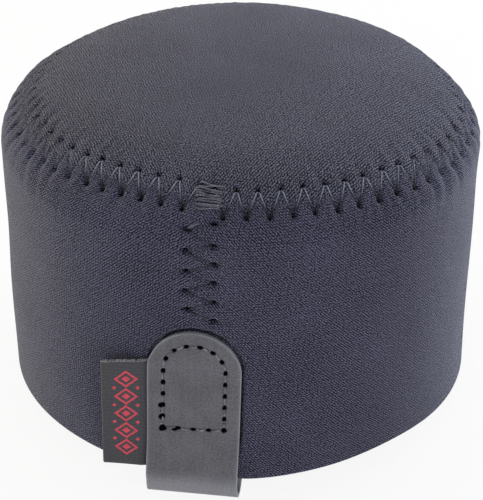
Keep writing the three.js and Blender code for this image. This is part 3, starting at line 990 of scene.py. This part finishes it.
box_line = box_outline()
box_sides = np.linalg.norm(np.diff(box_line, axis=0), axis=1)
box_travel = np.concatenate([[0], np.cumsum(box_sides)])
box_round, box_length = (float(travelled) for travelled in box_travel[-2:])
round_marks = np.linspace(0, box_round, round(box_round / BOX_PITCH) + 1)
base_marks = np.linspace(box_round, box_length, 5)[1:]
box_marks = [float(mark) for mark in np.concatenate([round_marks, base_marks])]
box_stitches = [(start, end, 0.0) for start, end in zip(box_marks[:-1], box_marks[1:])]
for start, end in zip(box_marks[:2], box_marks[1:3]):
    box_stitches.append((start + 0.2 * MM, end + 0.3 * MM, -0.75 * MM))
box_stitches.append((box_length - 2.9 * MM, box_length - 0.4 * MM, -0.6 * MM))


def stitch_line(start, end, aside, count):
    """Points of one box stitch as (across, height), moved aside into the D."""
    distances = np.mod(np.linspace(start, end, count), box_length)
    flat = np.column_stack([np.interp(distances, box_travel, box_line[:, axis]) for axis in (0, 1)])
    inward = np.array([0, (BOX_BASE + tab_high) / 2]) - flat
    return flat + aside * inward / np.linalg.norm(inward, axis=1)[:, None]


box_spans = [stitch_line(start, end, aside, 5) for start, end, aside in box_stitches]
print(len(box_spans), "box stitches round", round(box_length / MM, 1), "mm")

# %% Bend, thicken and dimple the strip
LEATHER_PIT = 0.75 * MM
LEATHER_GROOVE = 0.22 * MM
LEATHER_SPAN = 0.12


def leather_relief(across, height):
    """Depth of the dimples round the box stitch, and how close a hole is."""
    groove = np.zeros_like(across)
    hole = np.zeros_like(across)
    for span in box_spans:
        for here, there in ((span[0], span[1]), (span[-1], span[-2])):
            along = (there - here) / np.linalg.norm(there - here)
            off_across = across - here[0]
            off_height = height - here[1]
            forth = off_across * along[0] + off_height * along[1]
            aside = off_across * along[1] - off_height * along[0]
            hole = np.maximum(hole, bell(forth, 0.72 * MM) * bell(aside, 0.48 * MM))
        for start, end in zip(span[:-1], span[1:]):
            far = distance_to_span(across, height, start, end)
            groove = np.maximum(groove, bell(far, 0.4 * MM))
    return LEATHER_PIT * hole + LEATHER_GROOVE * groove, hole


def thickened(name, bm, thickness, worn=0.0):
    """A sheet with its thickness, and with edges rounded by wear, from its middle surface."""
    blank = finished(name + "_blank", bm)
    thicken = blank.modifiers.new("thickness", "SOLIDIFY")
    thicken.thickness = thickness
    thicken.offset = 0
    if worn:
        soften = blank.modifiers.new("worn edges", "BEVEL")
        soften.width = worn
        soften.segments = 2
        soften.limit_method = "ANGLE"
        soften.angle_limit = math.radians(50)
    return finished(name, evaluated_mesh(blank))


def pull_tab():
    bm = flat_strip()
    across_layer = bm.verts.layers.float.new("across")
    travel_layer = bm.verts.layers.float.new("travel")
    for vert in bm.verts:
        vert[across_layer] = vert.co.x
        vert[travel_layer] = -vert.co.y
        vert.co = on_strip(vert.co.x, -vert.co.y)
    bmesh.ops.recalc_face_normals(bm, faces=bm.faces)
    return thickened("pull_tab", bm, tab_thickness, worn=0.3 * MM)


tab = pull_tab()
tab_places = vertex_places(tab.data)
tab_across = vertex_values(tab.data, "across")
tab_travel = vertex_values(tab.data, "travel")
tab_height = np.interp(tab_travel, path_travel, path_height)
tab_middle = on_strip(tab_across, tab_travel)
off_middle = np.hypot(*tab_places[:, :2].T) - np.hypot(*tab_middle[:, :2].T)
on_front = (tab_travel < strip_length / 2) & (off_middle > 0.2 * MM)
on_back = (tab_travel > strip_length / 2) & (off_middle < -0.2 * MM)
dimple, tab_hole_painted_shade = leather_relief(tab_across, tab_height)
radial = tab_places * np.array([1, 1, 0])
radial = radial / np.linalg.norm(radial, axis=1)[:, None]
sink = dimple * on_front - dimple * on_back
move_vertices(tab.data, tab_places - radial * sink[:, None])
# Painted shade: the box stitch's needle holes are kept for the material to paint near black.
store_values(tab.data, "painted_recess_shade", tab_hole_painted_shade * (on_front | on_back))
end_reach = np.minimum(tab_travel, strip_length - tab_travel)
above_arch = np.clip(1 - end_reach / tab_half, 0, 1)
arch_half = tab_half * (1 - above_arch**ARCH_POWER) ** (1 / ARCH_POWER)
from_edge = np.maximum(0, arch_half - np.abs(tab_across))
# Paler cut edge: partly the raw edge's own tone, partly a painted edge highlight.
store_values(tab.data, "pale_edge_and_painted_highlight", np.exp(-from_edge / (0.21 * MM)))
# Lighter along the fold: painted light from the white floor, with a little scuffing.
store_values(tab.data, "fold_scuff_and_painted_light", smooth_step(-tab_height, -2.5 * MM, 3.5 * MM))
store_uv(tab.data, "leather", 0.5 + tab_across / LEATHER_SPAN, tab_travel / LEATHER_SPAN)
print("pull tab", len(tab.data.polygons), "faces")


# %% Box stitch threads
def box_runs(back):
    runs = []
    share = np.linspace(0, 1, 14)
    for start, end, aside in box_stitches:
        short = 0.9 * MM if aside else 0.5 * MM
        flat = stitch_line(start + short, end - short, aside, len(share))
        ends = np.linalg.norm(flat[-1] - flat[0]) * np.minimum(share, 1 - share)
        over = tab_thickness / 2 + dive(ends, 0.9 * MM, 0.0, 0.0)
        travel = tab_high - flat[:, 1]
        runs.append(on_strip(flat[:, 0], strip_length - travel if back else travel, over))
    return runs


box_needle = sewn_thread("box_stitch_needle_thread", box_runs(False), 0.27 * MM, 0.2 * MM)
box_bobbin = sewn_thread("box_stitch_bobbin_thread", box_runs(True), 0.27 * MM, 0.2 * MM)

# %% [markdown]
# ## The woven label
#
# The label is one length of tape, folded in half, with both cut ends caught under the tab. A
# grid makes the tape flat, and a mapping leads it out from under the leather, round the fold and
# back. It stands off the wall a little more at the top than at the bottom, as limp tape does.

# %% Tape path and mesh
TAPE_THICKNESS = 0.3 * MM
TAPE_HALF_GAP = 0.2 * MM
label_tuck = 4.4 * MM
label_reach = 11.1 * MM
opening_low = math.radians(14)
opening_high = math.radians(23)
label_tall = label_high - label_low
layer_length = label_tuck + label_reach
half_turn = math.pi * TAPE_HALF_GAP
tape_length = 2 * layer_length + half_turn
tape_root = body_radius + 0.12 * MM


def tape_middle(reach, height):
    """The label's middle from the tab's edge: (away from the tab, off the wall, slope)."""
    opening = opening_low + (opening_high - opening_low) * height / label_tall
    samples = np.linspace(0, label_reach, 60)
    root = bell(samples - 0.9 * MM, 0.8 * MM) * math.radians(24)
    curl = math.radians(5) * (samples / label_reach - 0.5)
    slope = smooth_step(samples, 0, 1.2 * MM) * (opening + curl) + root
    away = np.concatenate([[0], np.cumsum(np.cos(slope[:-1]) * np.diff(samples))])
    off = np.concatenate([[0], np.cumsum(np.sin(slope[:-1]) * np.diff(samples))])
    return [float(np.interp(reach, samples, values)) for values in (away, off, slope)]


def on_tape(travel, height):
    """Where a place on the tape lies, seen from above."""
    past = 0.0
    if travel < layer_length:
        reach = travel - label_tuck
        aside = -TAPE_HALF_GAP
    elif travel > layer_length + half_turn:
        reach = tape_length - travel - label_tuck
        aside = TAPE_HALF_GAP
    else:
        angle = (travel - layer_length) / TAPE_HALF_GAP
        reach = label_reach
        aside = -TAPE_HALF_GAP * math.cos(angle)
        past = TAPE_HALF_GAP * math.sin(angle)
    edge_azimuth = tab_azimuth - (tab_half - tab_shear(height)) / tab_front_radius
    if reach <= 0:
        azimuth = edge_azimuth - reach / tape_root
        return Vector((math.sin(azimuth), -math.cos(azimuth), 0)) * (tape_root + aside)
    away, off, slope = tape_middle(reach, height)
    away = away + past * math.cos(slope) - aside * math.sin(slope)
    off = off + past * math.sin(slope) + aside * math.cos(slope)
    outward = Vector((math.sin(edge_azimuth), -math.cos(edge_azimuth), 0))
    leftward = Vector((-math.cos(edge_azimuth), -math.sin(edge_azimuth), 0))
    return outward * (tape_root + off) + leftward * away


def woven_label():
    bm = bmesh.new()
    bmesh.ops.create_grid(bm, x_segments=96, y_segments=64, size=0.5)
    travel_layer = bm.verts.layers.float.new("travel")
    height_layer = bm.verts.layers.float.new("rise")
    for vert in bm.verts:
        travel = (vert.co.x + 0.5) * tape_length
        height = (vert.co.y + 0.5) * label_tall
        vert[travel_layer] = travel
        vert[height_layer] = height
        place = on_tape(travel, height)
        vert.co = (place.x, place.y, label_low + height + hem_level)
    bmesh.ops.recalc_face_normals(bm, faces=bm.faces)
    return thickened("woven_label", bm, TAPE_THICKNESS)


label = woven_label()
label_travel = vertex_values(label.data, "travel")
label_rise = vertex_values(label.data, "rise")
store_uv(label.data, "tape", label_travel / CLOTH_SPAN, label_rise / CLOTH_SPAN)
print("woven label", len(label.data.polygons), "faces")

# %% [markdown]
# ## Materials
#
# Every finish is a Principled shader with a few nodes behind its colour, roughness and bump. Two
# small classes keep the wiring short. In any node tree, node() adds a node and links or fills
# its inputs, and maths() adds a Math node. A Finish is a material with calls for what cloth,
# thread and leather need. Values that are the same all over go straight to the shader.

# %% A short way to wire nodes
class Wiring:
    """A node tree, with short calls that add nodes to it."""

    def __init__(self, tree):
        self.tree = tree

    def node(self, kind, inputs, output=0, **settings):
        made = self.tree.nodes.new(kind)
        for setting, value in settings.items():
            setattr(made, setting, value)
        for socket, value in inputs.items():
            if isinstance(value, bpy.types.NodeSocket):
                self.tree.links.new(value, made.inputs[socket])
            else:
                made.inputs[socket].default_value = value
        return made.outputs[output]

    def maths(self, operation, first, second=0.0, third=0.0):
        inputs = {0: first, 1: second, 2: third}
        return self.node("ShaderNodeMath", inputs, operation=operation)

    def clamped(self, value):
        return self.node("ShaderNodeClamp", {0: value})

    def soft_range(self, value, start, end, **levels):
        """0 before the start and 1 past the end, or from one given level to another."""
        inputs = {"Value": value, "From Min": start, "From Max": end}
        inputs.update({socket.replace("_", " "): level for socket, level in levels.items()})
        return self.node("ShaderNodeMapRange", inputs, interpolation_type="SMOOTHSTEP")

    def ray_share(self, first, *others):
        """1 for rays of these kinds, else 0."""
        rays = self.tree.nodes.new("ShaderNodeLightPath")
        share = rays.outputs[first]
        for kind in others:
            share = self.maths("MAXIMUM", share, rays.outputs[kind])
        return share


class Finish(Wiring):
    """A material with a Principled shader and short calls that add the nodes behind it."""

    def __init__(self, name, **shader_values):
        self.material = bpy.data.materials.new(name)
        self.material.use_nodes = True
        super().__init__(self.material.node_tree)
        self.shader = self.tree.nodes["Principled BSDF"]
        for socket, value in shader_values.items():
            self.shader.inputs[socket.replace("_", " ")].default_value = value

    def mix(self, factor, low, high):
        return self.node("ShaderNodeMix", {0: factor, 6: low, 7: high}, output=2, data_type="RGBA")

    def attribute(self, name):
        return self.node("ShaderNodeAttribute", {}, output=2, attribute_name=name)

    def object_places(self):
        return self.node("ShaderNodeTexCoord", {}, output="Object")

    def flat_places(self, uv_map, span):
        """The place on the flat piece in millimetres, from its UV map: both together, x and y."""
        uv = self.node("ShaderNodeUVMap", {}, uv_map=uv_map)
        mapped = self.node("ShaderNodeMapping", {0: uv, "Scale": (span / MM, span / MM, 1)})
        split = self.tree.nodes.new("ShaderNodeSeparateXYZ")
        self.tree.links.new(mapped, split.inputs[0])
        return mapped, split.outputs[0], split.outputs[1]

    def noise(self, vector, scale, detail=2.0):
        return self.node("ShaderNodeTexNoise", {"Vector": vector, "Scale": scale, "Detail": detail})

    def wave(self, place, period):
        """0 to 1 and back over each period."""
        turned = self.maths("MULTIPLY", place, 2 * math.pi / period)
        return self.maths("MULTIPLY_ADD", self.maths("SINE", turned), 0.5, 0.5)

    def feed(self, socket, value):
        self.tree.links.new(value, self.shader.inputs[socket])

    def colour(self, value):
        self.feed("Base Color", value)

    def fade(self, share, socket, level):
        """A shader value that is its level where a share is 0, and nothing where it is 1."""
        left = self.maths("SUBTRACT", 1.0, share)
        self.feed(socket, self.maths("MULTIPLY", left, level))

    def bump(self, height, distance, strength=1.0):
        inputs = {"Height": height, "Distance": distance, "Strength": strength}
        self.feed("Normal", self.node("ShaderNodeBump", inputs))


# %% [markdown]
# The knit is the finish that matters most. Each loop of jersey has two slanting legs, and under
# soft light one of them catches the eye: lines lean one way right of the side seam and the other
# way left of it. So the pattern is a fine slanting wave broken into short dashes, with noise to
# make it wander, used for both colour and bump. It is laid out in millimetres on the flat cloth.
# An even sheen stands for the fuzz that lightens the cloth where it turns away.

# %% Knit face and lining
DASH_PERIOD = 0.88


def knit_dashes(finish, across, up, degrees, period):
    """Short dashes on parallel lines, 0 to 1. degrees is the direction square to the lines."""
    cosine = math.cos(math.radians(degrees))
    sine = math.sin(math.radians(degrees))
    lines = finish.maths("MULTIPLY_ADD", across, cosine, finish.maths("MULTIPLY", up, sine))
    along = finish.maths("MULTIPLY_ADD", up, cosine, finish.maths("MULTIPLY", across, -sine))
    leg = finish.wave(lines, period)
    dash = finish.wave(finish.maths("MULTIPLY_ADD", lines, 0.9, along), DASH_PERIOD)
    return finish.maths("MULTIPLY", leg, finish.maths("MULTIPLY_ADD", dash, 0.62, 0.38))


def knit_finish(name, dark, light, layout, lines_to_fuzz, bump_depth, sheen):
    """layout is (directions square to the lines before and after a change, the change, period)."""
    slants, change, period = layout
    finish = Finish(name, Roughness=0.9, Sheen_Weight=sheen, Sheen_Roughness=0.26,
                    Sheen_Tint=(0.80, 0.80, 0.86, 1))
    mapped, across, up = finish.flat_places("cloth", CLOTH_SPAN)
    side = finish.soft_range(across, *change)
    stray = finish.maths("MULTIPLY", finish.maths("SUBTRACT", finish.noise(mapped, 0.5), 0.5), 1.1)
    across = finish.maths("ADD", across, stray)
    first, second = (knit_dashes(finish, across, up, slant, period) for slant in slants)
    pattern = finish.maths("MULTIPLY_ADD", finish.maths("SUBTRACT", second, first), side, first)
    fuzz = finish.maths("SUBTRACT", finish.noise(mapped, 2.6), 0.5)
    contrast, fuzziness = lines_to_fuzz
    pattern = finish.maths("MULTIPLY_ADD", pattern, contrast, 0.4 * (1 - contrast))
    height = finish.maths("MULTIPLY_ADD", fuzz, fuzziness, pattern)
    blotches = finish.maths("SUBTRACT", finish.noise(mapped, 0.05, 1.0), 0.5)
    shade = finish.clamped(finish.maths("MULTIPLY_ADD", blotches, 0.3, height))
    colour = finish.mix(shade, dark, light)
    # Painted shade: the colour goes near black in the pits, grooves and the crease beside the tab,
    # and the specular fades there.
    hole = finish.clamped(finish.maths("MULTIPLY", finish.attribute("painted_recess_shade"), 1.4))
    finish.colour(finish.mix(hole, colour, (0.003, 0.003, 0.005, 1)))
    finish.fade(hole, "Specular IOR Level", 0.2)
    finish.bump(height, bump_depth)
    return finish.material


wall_strip = 2 * math.pi * body_radius / MM
wall_layout = ((44, 127), (0.42 * wall_strip, 0.6 * wall_strip), 0.56)
crown_middle = 0.5 * CLOTH_SPAN / MM
crown_layout = ((17, 143), (crown_middle - 34, crown_middle + 6), 0.63)
wall_knit = knit_finish("charcoal knit, wall", (0.004, 0.004, 0.008, 1),
                        (0.160, 0.158, 0.247, 1), wall_layout, (1.05, 3.0), 0.00012, 0.5)
# The crown's copy of the knit is lighter than the wall's, with more contrast and less sheen; the
# lighter colour is partly painted light on the crown, which faces the top softbox.
crown_knit = knit_finish("charcoal knit, crown", (0.003, 0.003, 0.006, 1),
                         (0.215, 0.214, 0.305, 1), crown_layout, (1.55, 5.0), 0.00018, 0.34)
lining_knit = knit_finish("charcoal knit, lining", (0.010, 0.010, 0.013, 1),
                          (0.075, 0.075, 0.088, 1), wall_layout, (0.9, 2.4), 0.00010, 0.3)


# %% [markdown]
# Foam, board and thread are close to black. The foam has the fine pores of a cut closed-cell
# sheet, the board a faint pebble, and the thread paler patches, which on the box stitch and the
# bartack are painted highlights. The rim's thread gets a painted highlight on the upper part of
# each stitch.

# %% Foam, panel board and thread
def foam_finish():
    finish = Finish("black foam, cut edge", Roughness=0.95, Specular_IOR_Level=0.2)
    places = finish.object_places()
    pores = finish.node("ShaderNodeTexVoronoi", {"Vector": places, "Scale": 3200.0})
    blotches = finish.noise(places, 250.0)
    shade = finish.maths("MULTIPLY_ADD", blotches, 0.5, finish.maths("MULTIPLY", pores, 0.6))
    finish.colour(finish.mix(finish.clamped(shade), (0.010, 0.010, 0.012, 1),
                             (0.036, 0.036, 0.040, 1)))
    finish.bump(pores, 0.0001)
    return finish.material


def board_finish():
    finish = Finish("black polyethylene board", Specular_IOR_Level=0.4)
    places = finish.object_places()
    pebble = finish.noise(places, 900.0, 3.0)
    finish.colour(finish.mix(pebble, (0.028, 0.028, 0.030, 1), (0.052, 0.052, 0.055, 1)))
    finish.feed("Roughness", finish.maths("MULTIPLY_ADD", pebble, 0.25, 0.45))
    finish.bump(pebble, 0.00005)
    return finish.material


def thread_finish(name, dark, light, roughness, shine, painted_highlight_colour=None, patch_scale=420.0):
    """painted_highlight_colour is the painted highlight's colour, where painted_highlight_share is 1.
    """
    finish = Finish(name, Roughness=roughness, Specular_IOR_Level=shine,
                    Specular_Tint=(0.86, 0.9, 1, 1))
    places = finish.object_places()
    fibres = finish.noise(places, 2600.0)
    # Paler patches; on the box stitch and the bartack these are painted highlights.
    patches = finish.maths("MULTIPLY_ADD", finish.noise(places, patch_scale), 1.8, -0.65)
    shade = finish.maths("MULTIPLY_ADD", fibres, 0.5, patches)
    colour = finish.mix(finish.clamped(shade), dark, light)
    # Painted highlight on the upper part of each rim stitch, broken up by the fibre noise.
    if painted_highlight_colour:
        speckled = finish.maths("MULTIPLY_ADD", fibres, 0.8, 0.5)
        share = finish.maths("MULTIPLY", finish.attribute("painted_highlight_share"), speckled)
        colour = finish.mix(finish.clamped(share), colour, painted_highlight_colour)
    finish.colour(colour)
    finish.bump(fibres, 0.00004)
    return finish.material


foam_black = foam_finish()
panel_board = board_finish()
seam_thread = thread_finish("charcoal sewing thread", (0.006, 0.006, 0.009, 1),
                            (0.018, 0.018, 0.024, 1), 0.4, 0.3, (0.27, 0.285, 0.37, 1))
sunk_thread = thread_finish("sunk sewing thread", (0.008, 0.008, 0.012, 1),
                            (0.105, 0.105, 0.140, 1), 0.6, 0.2)
# Painted highlights: pale patches stand in for the light along the bartack's rows.
bartack_thread_painted_highlights = thread_finish("bartack thread, painted highlights", (0.020, 0.020, 0.025, 1),
                             (0.250, 0.243, 0.300, 1), 0.5, 0.3)
# Painted highlights: pale specks stand in for highlights on the box stitch's thread.
box_thread = thread_finish("grey sewing thread", (0.008, 0.008, 0.009, 1),
                           (0.40, 0.40, 0.42, 1), 0.45, 0.4, patch_scale=1300.0)


# %% [markdown]
# The leather is smooth, mid-grey and satin, with an almost invisible grain. Its cut edges are
# paler, partly from the raw edge's own tone and partly as a painted edge highlight. It is lighter
# along the fold, painted light from the white floor with a little scuffing, and its needle holes
# are painted near black as painted shade.

# %% Leather
def leather_finish():
    finish = Finish("smooth grey leather")
    mapped = finish.flat_places("leather", LEATHER_SPAN)[0]
    grain = finish.node("ShaderNodeTexVoronoi", {"Vector": mapped, "Scale": 2.2})
    fine = finish.noise(mapped, 2.0, 3.0)
    stretched = finish.node("ShaderNodeMapping", {0: mapped, "Scale": (1, 0.12, 1)})
    streaks = finish.noise(stretched, 0.9)
    clouds = finish.noise(mapped, 0.16, 3.0)
    shade = finish.maths("MULTIPLY_ADD", clouds, 0.95, finish.maths("MULTIPLY_ADD", fine, 2.2, -1.5))
    shade = finish.clamped(finish.maths("MULTIPLY_ADD", streaks, 0.62, shade))
    colour = finish.mix(shade, (0.070, 0.070, 0.081, 1), (0.152, 0.149, 0.167, 1))
    # Lighter along the fold: painted light from the white floor, with a little scuffing, mottled by
    # noise.
    fold_mottle = finish.maths("MULTIPLY_ADD", fine, 0.6, 0.3)
    fold_scuff_and_light_share = finish.maths("MULTIPLY", finish.attribute("fold_scuff_and_painted_light"), fold_mottle)
    colour = finish.mix(fold_scuff_and_light_share, colour, (0.36, 0.36, 0.385, 1))
    # Paler cut edge: partly the raw edge's own tone, partly a painted edge highlight.
    edge = finish.maths("MULTIPLY", finish.attribute("pale_edge_and_painted_highlight"), 0.85)
    colour = finish.mix(edge, colour, (0.34, 0.35, 0.37, 1))
    # Painted shade: the needle holes are painted near black, and their specular fades.
    hole = finish.soft_range(finish.attribute("painted_recess_shade"), 0.2, 0.42)
    finish.colour(finish.mix(hole, colour, (0.002, 0.002, 0.002, 1)))
    finish.fade(hole, "Specular IOR Level", 0.45)
    finish.feed("Roughness", finish.maths("MULTIPLY_ADD", fine, 0.3, 0.4))
    finish.bump(finish.maths("MULTIPLY_ADD", fine, 0.8, grain), 0.00004, 0.8)
    return finish.material


leather_grey = leather_finish()

# %% [markdown]
# The label's ornament is woven, so it is part of the tape's material: a column of plain lozenges
# in red with a dot on each side between them. It is worked out from the tape's own map, in
# millimetres, as distances in a repeating lozenge cell. Fine ribs run across it, as in any
# woven tape.

# %% Woven tape
LOZENGES = 5
LOZENGE_RISE = 5.2
LOZENGE_HALF_WIDTH = 3.0
DOT_PLACE = 2.8


def tape_finish():
    finish = Finish("woven label tape", Roughness=0.85, Specular_IOR_Level=0.25, Sheen_Weight=0.1)
    mapped, along, rise = finish.flat_places("tape", CLOTH_SPAN)
    middle_of_leaf = (tape_length - label_tuck - label_reach / 2) / MM
    off_middle = finish.maths("ABSOLUTE", finish.maths("SUBTRACT", along, middle_of_leaf))
    lowest = 0.5 * (label_tall / MM - LOZENGES * LOZENGE_RISE)
    lifted = finish.maths("SUBTRACT", rise, lowest)
    cell = finish.maths("MODULO", lifted, LOZENGE_RISE)
    off_centre = finish.maths("ABSOLUTE", finish.maths("SUBTRACT", cell, LOZENGE_RISE / 2))
    lozenge = finish.maths("MULTIPLY_ADD", off_middle, 1 / LOZENGE_HALF_WIDTH,
                           finish.maths("DIVIDE", off_centre, LOZENGE_RISE / 2))
    ring = finish.maths("COMPARE", lozenge, 0.84, 0.13)
    core = finish.maths("LESS_THAN", lozenge, 0.36)
    to_joint = finish.maths("SUBTRACT", LOZENGE_RISE / 2, off_centre)
    dot_off = finish.maths("ABSOLUTE", finish.maths("SUBTRACT", off_middle, DOT_PLACE))
    dot = finish.maths("LESS_THAN", finish.maths("ADD", dot_off, to_joint), 0.55)
    half_column = LOZENGES / 2 * LOZENGE_RISE
    from_middle = finish.maths("ABSOLUTE", finish.maths("SUBTRACT", lifted, half_column))
    dot = finish.maths("MULTIPLY", dot, finish.maths("LESS_THAN", from_middle, 2.3 * LOZENGE_RISE))
    red = finish.maths("MAXIMUM", finish.maths("MAXIMUM", ring, core), dot)
    red = finish.maths("MULTIPLY", red, finish.maths("LESS_THAN", from_middle, half_column))
    warp = finish.maths("MULTIPLY", finish.wave(along, 0.3), 0.4)
    weave = finish.maths("MULTIPLY_ADD", finish.wave(rise, 0.42), 0.6, warp)
    fuzz = finish.noise(mapped, 2.2)
    woven = finish.maths("MULTIPLY_ADD", fuzz, 1.1, finish.maths("ADD", weave, -0.55))
    shade = finish.clamped(woven)
    ground = finish.mix(shade, (0.036, 0.036, 0.041, 1), (0.104, 0.103, 0.112, 1))
    # The top edge is painted paler in broken spots.
    top_edge = finish.maths("GREATER_THAN", rise, label_tall / MM - 0.28)
    broken_spots = finish.maths("GREATER_THAN", finish.noise(mapped, 2.6), 0.47)
    speckled = finish.maths("MULTIPLY", top_edge, broken_spots)
    ground = finish.mix(speckled, ground, (0.30, 0.30, 0.31, 1))
    yarn = finish.mix(shade, (0.42, 0.025, 0.045, 1), (0.95, 0.13, 0.18, 1))
    finish.colour(finish.mix(red, ground, yarn))
    finish.bump(weave, 0.00006)
    return finish.material


tape_woven = tape_finish()


# %% [markdown]
# ## Dressing the model
#
# Each new piece gets its finish and the CAD nodes that it stands for, and all but the tab and
# the label are attached to the cover's body. The tab and the label cross a hinge, and are given
# no body here. The stiff panel inside the crown is the one CAD node that stays, and only gets a
# finish.

# %% Give each piece its finish and its body
def dress(piece, material, nodes, body="cover"):
    piece.data.materials.clear()
    piece.data.materials.append(material)
    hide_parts(*nodes)
    if body:
        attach(piece, body)


dress(wall_face, wall_knit, ["wall_face_fabric"])
dress(crown_face, crown_knit, ["crown_face_fabric"])
dress(wall_foam, foam_black, ["wall_foam"])
dress(crown_foam, foam_black, ["crown_foam"])
dress(wall_lining, lining_knit, ["wall_lining"])
dress(crown_lining, lining_knit, ["crown_lining"])
dress(rim_needle, seam_thread, ["rim_seam_needle_thread"])
dress(rim_bobbin, seam_thread, ["rim_seam_bobbin_thread"])
dress(side_needle, sunk_thread, ["side_seam_needle_thread"])
dress(side_bobbin, seam_thread, ["side_seam_bobbin_thread"])
dress(bartack_needle, bartack_thread_painted_highlights, ["bartack_needle_thread"])
dress(bartack_bobbin, bartack_thread_painted_highlights, ["bartack_bobbin_thread"])
dress(box_needle, box_thread, ["tab_box_stitch_needle_thread"])
dress(box_bobbin, box_thread, ["tab_box_stitch_bobbin_thread"])
dress(tab, leather_grey, ["tab_front", "tab_back", "tab_loop"], body=None)
dress(label, tape_woven, ["label_margin", "label_leaf"], body=None)

panel = frame["nodes"]["crown_impact_panel"]
panel.data.materials.clear()
panel.data.materials.append(panel_board)

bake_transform(tab)

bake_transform(label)

# %% [markdown]
# The knits and the label are cut from flat cloth, and the foam is padding.

# %% [markdown]
# ## Floor, light and camera
#
# The cap stands on the fold of its tab at the front and on its hem behind, so the floor under it
# is tilted by about three degrees against the cap's own level. The floor is white and lit like
# the object, and is lifted towards pure white only for the camera and for mirrored rays, which
# leaves the shadow.

# %% Floor
def studio_floor():
    front = on_strip(0.0, strip_length / 2) - np.array([0, 0, tab_thickness / 2])
    rear = on_cover(tab_azimuth + math.pi, 0.0, 0.0)
    rise = math.atan2(rear[2] - front[2], np.hypot(*(rear - front)[:2]))
    bm = bmesh.new()
    bmesh.ops.create_grid(bm, x_segments=4, y_segments=4, size=3.0)
    tilt = Matrix.Rotation(rise, 4, Vector((math.cos(tab_azimuth), math.sin(tab_azimuth), 0)))
    under = Vector(rear) - Vector((0, 0, 0.25 * MM))
    bmesh.ops.transform(bm, matrix=Matrix.Translation(under) @ tilt, verts=bm.verts)
    print("floor tilt", round(math.degrees(rise), 2), "degrees")
    return finished("studio_floor", bm)


def floor_finish():
    finish = Finish("white studio floor", Roughness=0.9, Specular_IOR_Level=0.1,
                    Base_Color=(0.9, 0.9, 0.9, 1))
    white = finish.node("ShaderNodeEmission", {"Color": (1, 1, 1, 1), "Strength": 1.0})
    share = finish.maths("MULTIPLY", finish.ray_share("Is Camera Ray", "Is Glossy Ray"), 0.9)
    mixed = finish.node("ShaderNodeMixShader", {0: share, 1: finish.shader.outputs[0], 2: white})
    output = finish.tree.nodes["Material Output"]
    finish.tree.links.new(mixed, output.inputs["Surface"])
    return finish.material


floor = studio_floor()
floor.data.materials.append(floor_finish())

# %% [markdown]
# Four soft lights: one over the cap, a warm one behind it at the left, a cool one behind it at
# the right, and a wide fill from the front. The room adds a little light of its own, less from
# the front.

# %% Light and world
ROOM_FRONT = 0.33
ROOM_BACK = 0.52


def soft_light(name, place, target, size, power, colour=(1, 1, 1)):
    lamp = bpy.data.lights.new(name, "AREA")
    lamp.shape = "SQUARE"
    lamp.size = size
    lamp.energy = power
    lamp.color = colour
    holder = added_object(name, lamp)
    holder.location = place
    holder.rotation_euler = (Vector(target) - Vector(place)).to_track_quat("-Z", "Y").to_euler()


soft_light("top softbox", (0.0, 0.22, 0.72), (0, 0, -0.02), 0.55, 1.42)
soft_light("left softbox", (-0.66, 0.34, 0.14), (0, 0, -0.04), 0.5, 4.0, (1.0, 0.93, 0.64))
soft_light("right softbox", (0.62, 0.44, 0.14), (0, 0, -0.04), 0.5, 5.6, (0.86, 0.92, 1.0))
soft_light("front fill", (0.1, -0.9, 0.06), (0, 0, -0.05), 0.8, 3.7, (0.93, 0.95, 1.0))


def studio_world():
    """White where the camera looks past the object; for other rays, a room darker at the front."""
    world = bpy.data.worlds.new("studio")
    bpy.context.scene.world = world
    world.use_nodes = True
    wiring = Wiring(world.node_tree)
    nodes = wiring.tree.nodes
    towards = wiring.node("ShaderNodeTexCoord", {}, output="Generated")
    backwards = wiring.node("ShaderNodeSeparateXYZ", {0: towards}, output="Y")
    room = nodes["Background"]
    room.inputs["Color"].default_value = (0.95, 0.96, 1.0, 1)
    strength = wiring.soft_range(backwards, -0.6, 0.7, To_Min=ROOM_FRONT, To_Max=ROOM_BACK)
    wiring.tree.links.new(strength, room.inputs["Strength"])
    white = wiring.node("ShaderNodeBackground", {"Color": (1, 1, 1, 1)})
    seen = wiring.ray_share("Is Camera Ray", "Is Glossy Ray", "Is Transmission Ray")
    mixed = wiring.node("ShaderNodeMixShader", {0: seen, 1: room.outputs[0], 2: white})
    wiring.tree.links.new(mixed, nodes["World Output"].inputs["Surface"])


studio_world()
bpy.context.scene.view_settings.view_transform = "Standard"

# %% [markdown]
# The camera stands where the photographer's did: 0.39 m in front of the cap's axis and 0.19 m
# over its crown, looking down by 32 degrees. The lens is set by the picture's height.

# %% Camera
camera_data = bpy.data.cameras.new("camera")
camera_data.sensor_fit = "VERTICAL"
camera_data.sensor_height = 36
camera_data.lens = 125.4
camera = added_object("camera", camera_data)
camera.location = (0.00047, -0.390, hem_level + 0.2699)
camera.rotation_euler = (math.radians(90 - 31.86), 0, 0)
bpy.context.scene.camera = camera
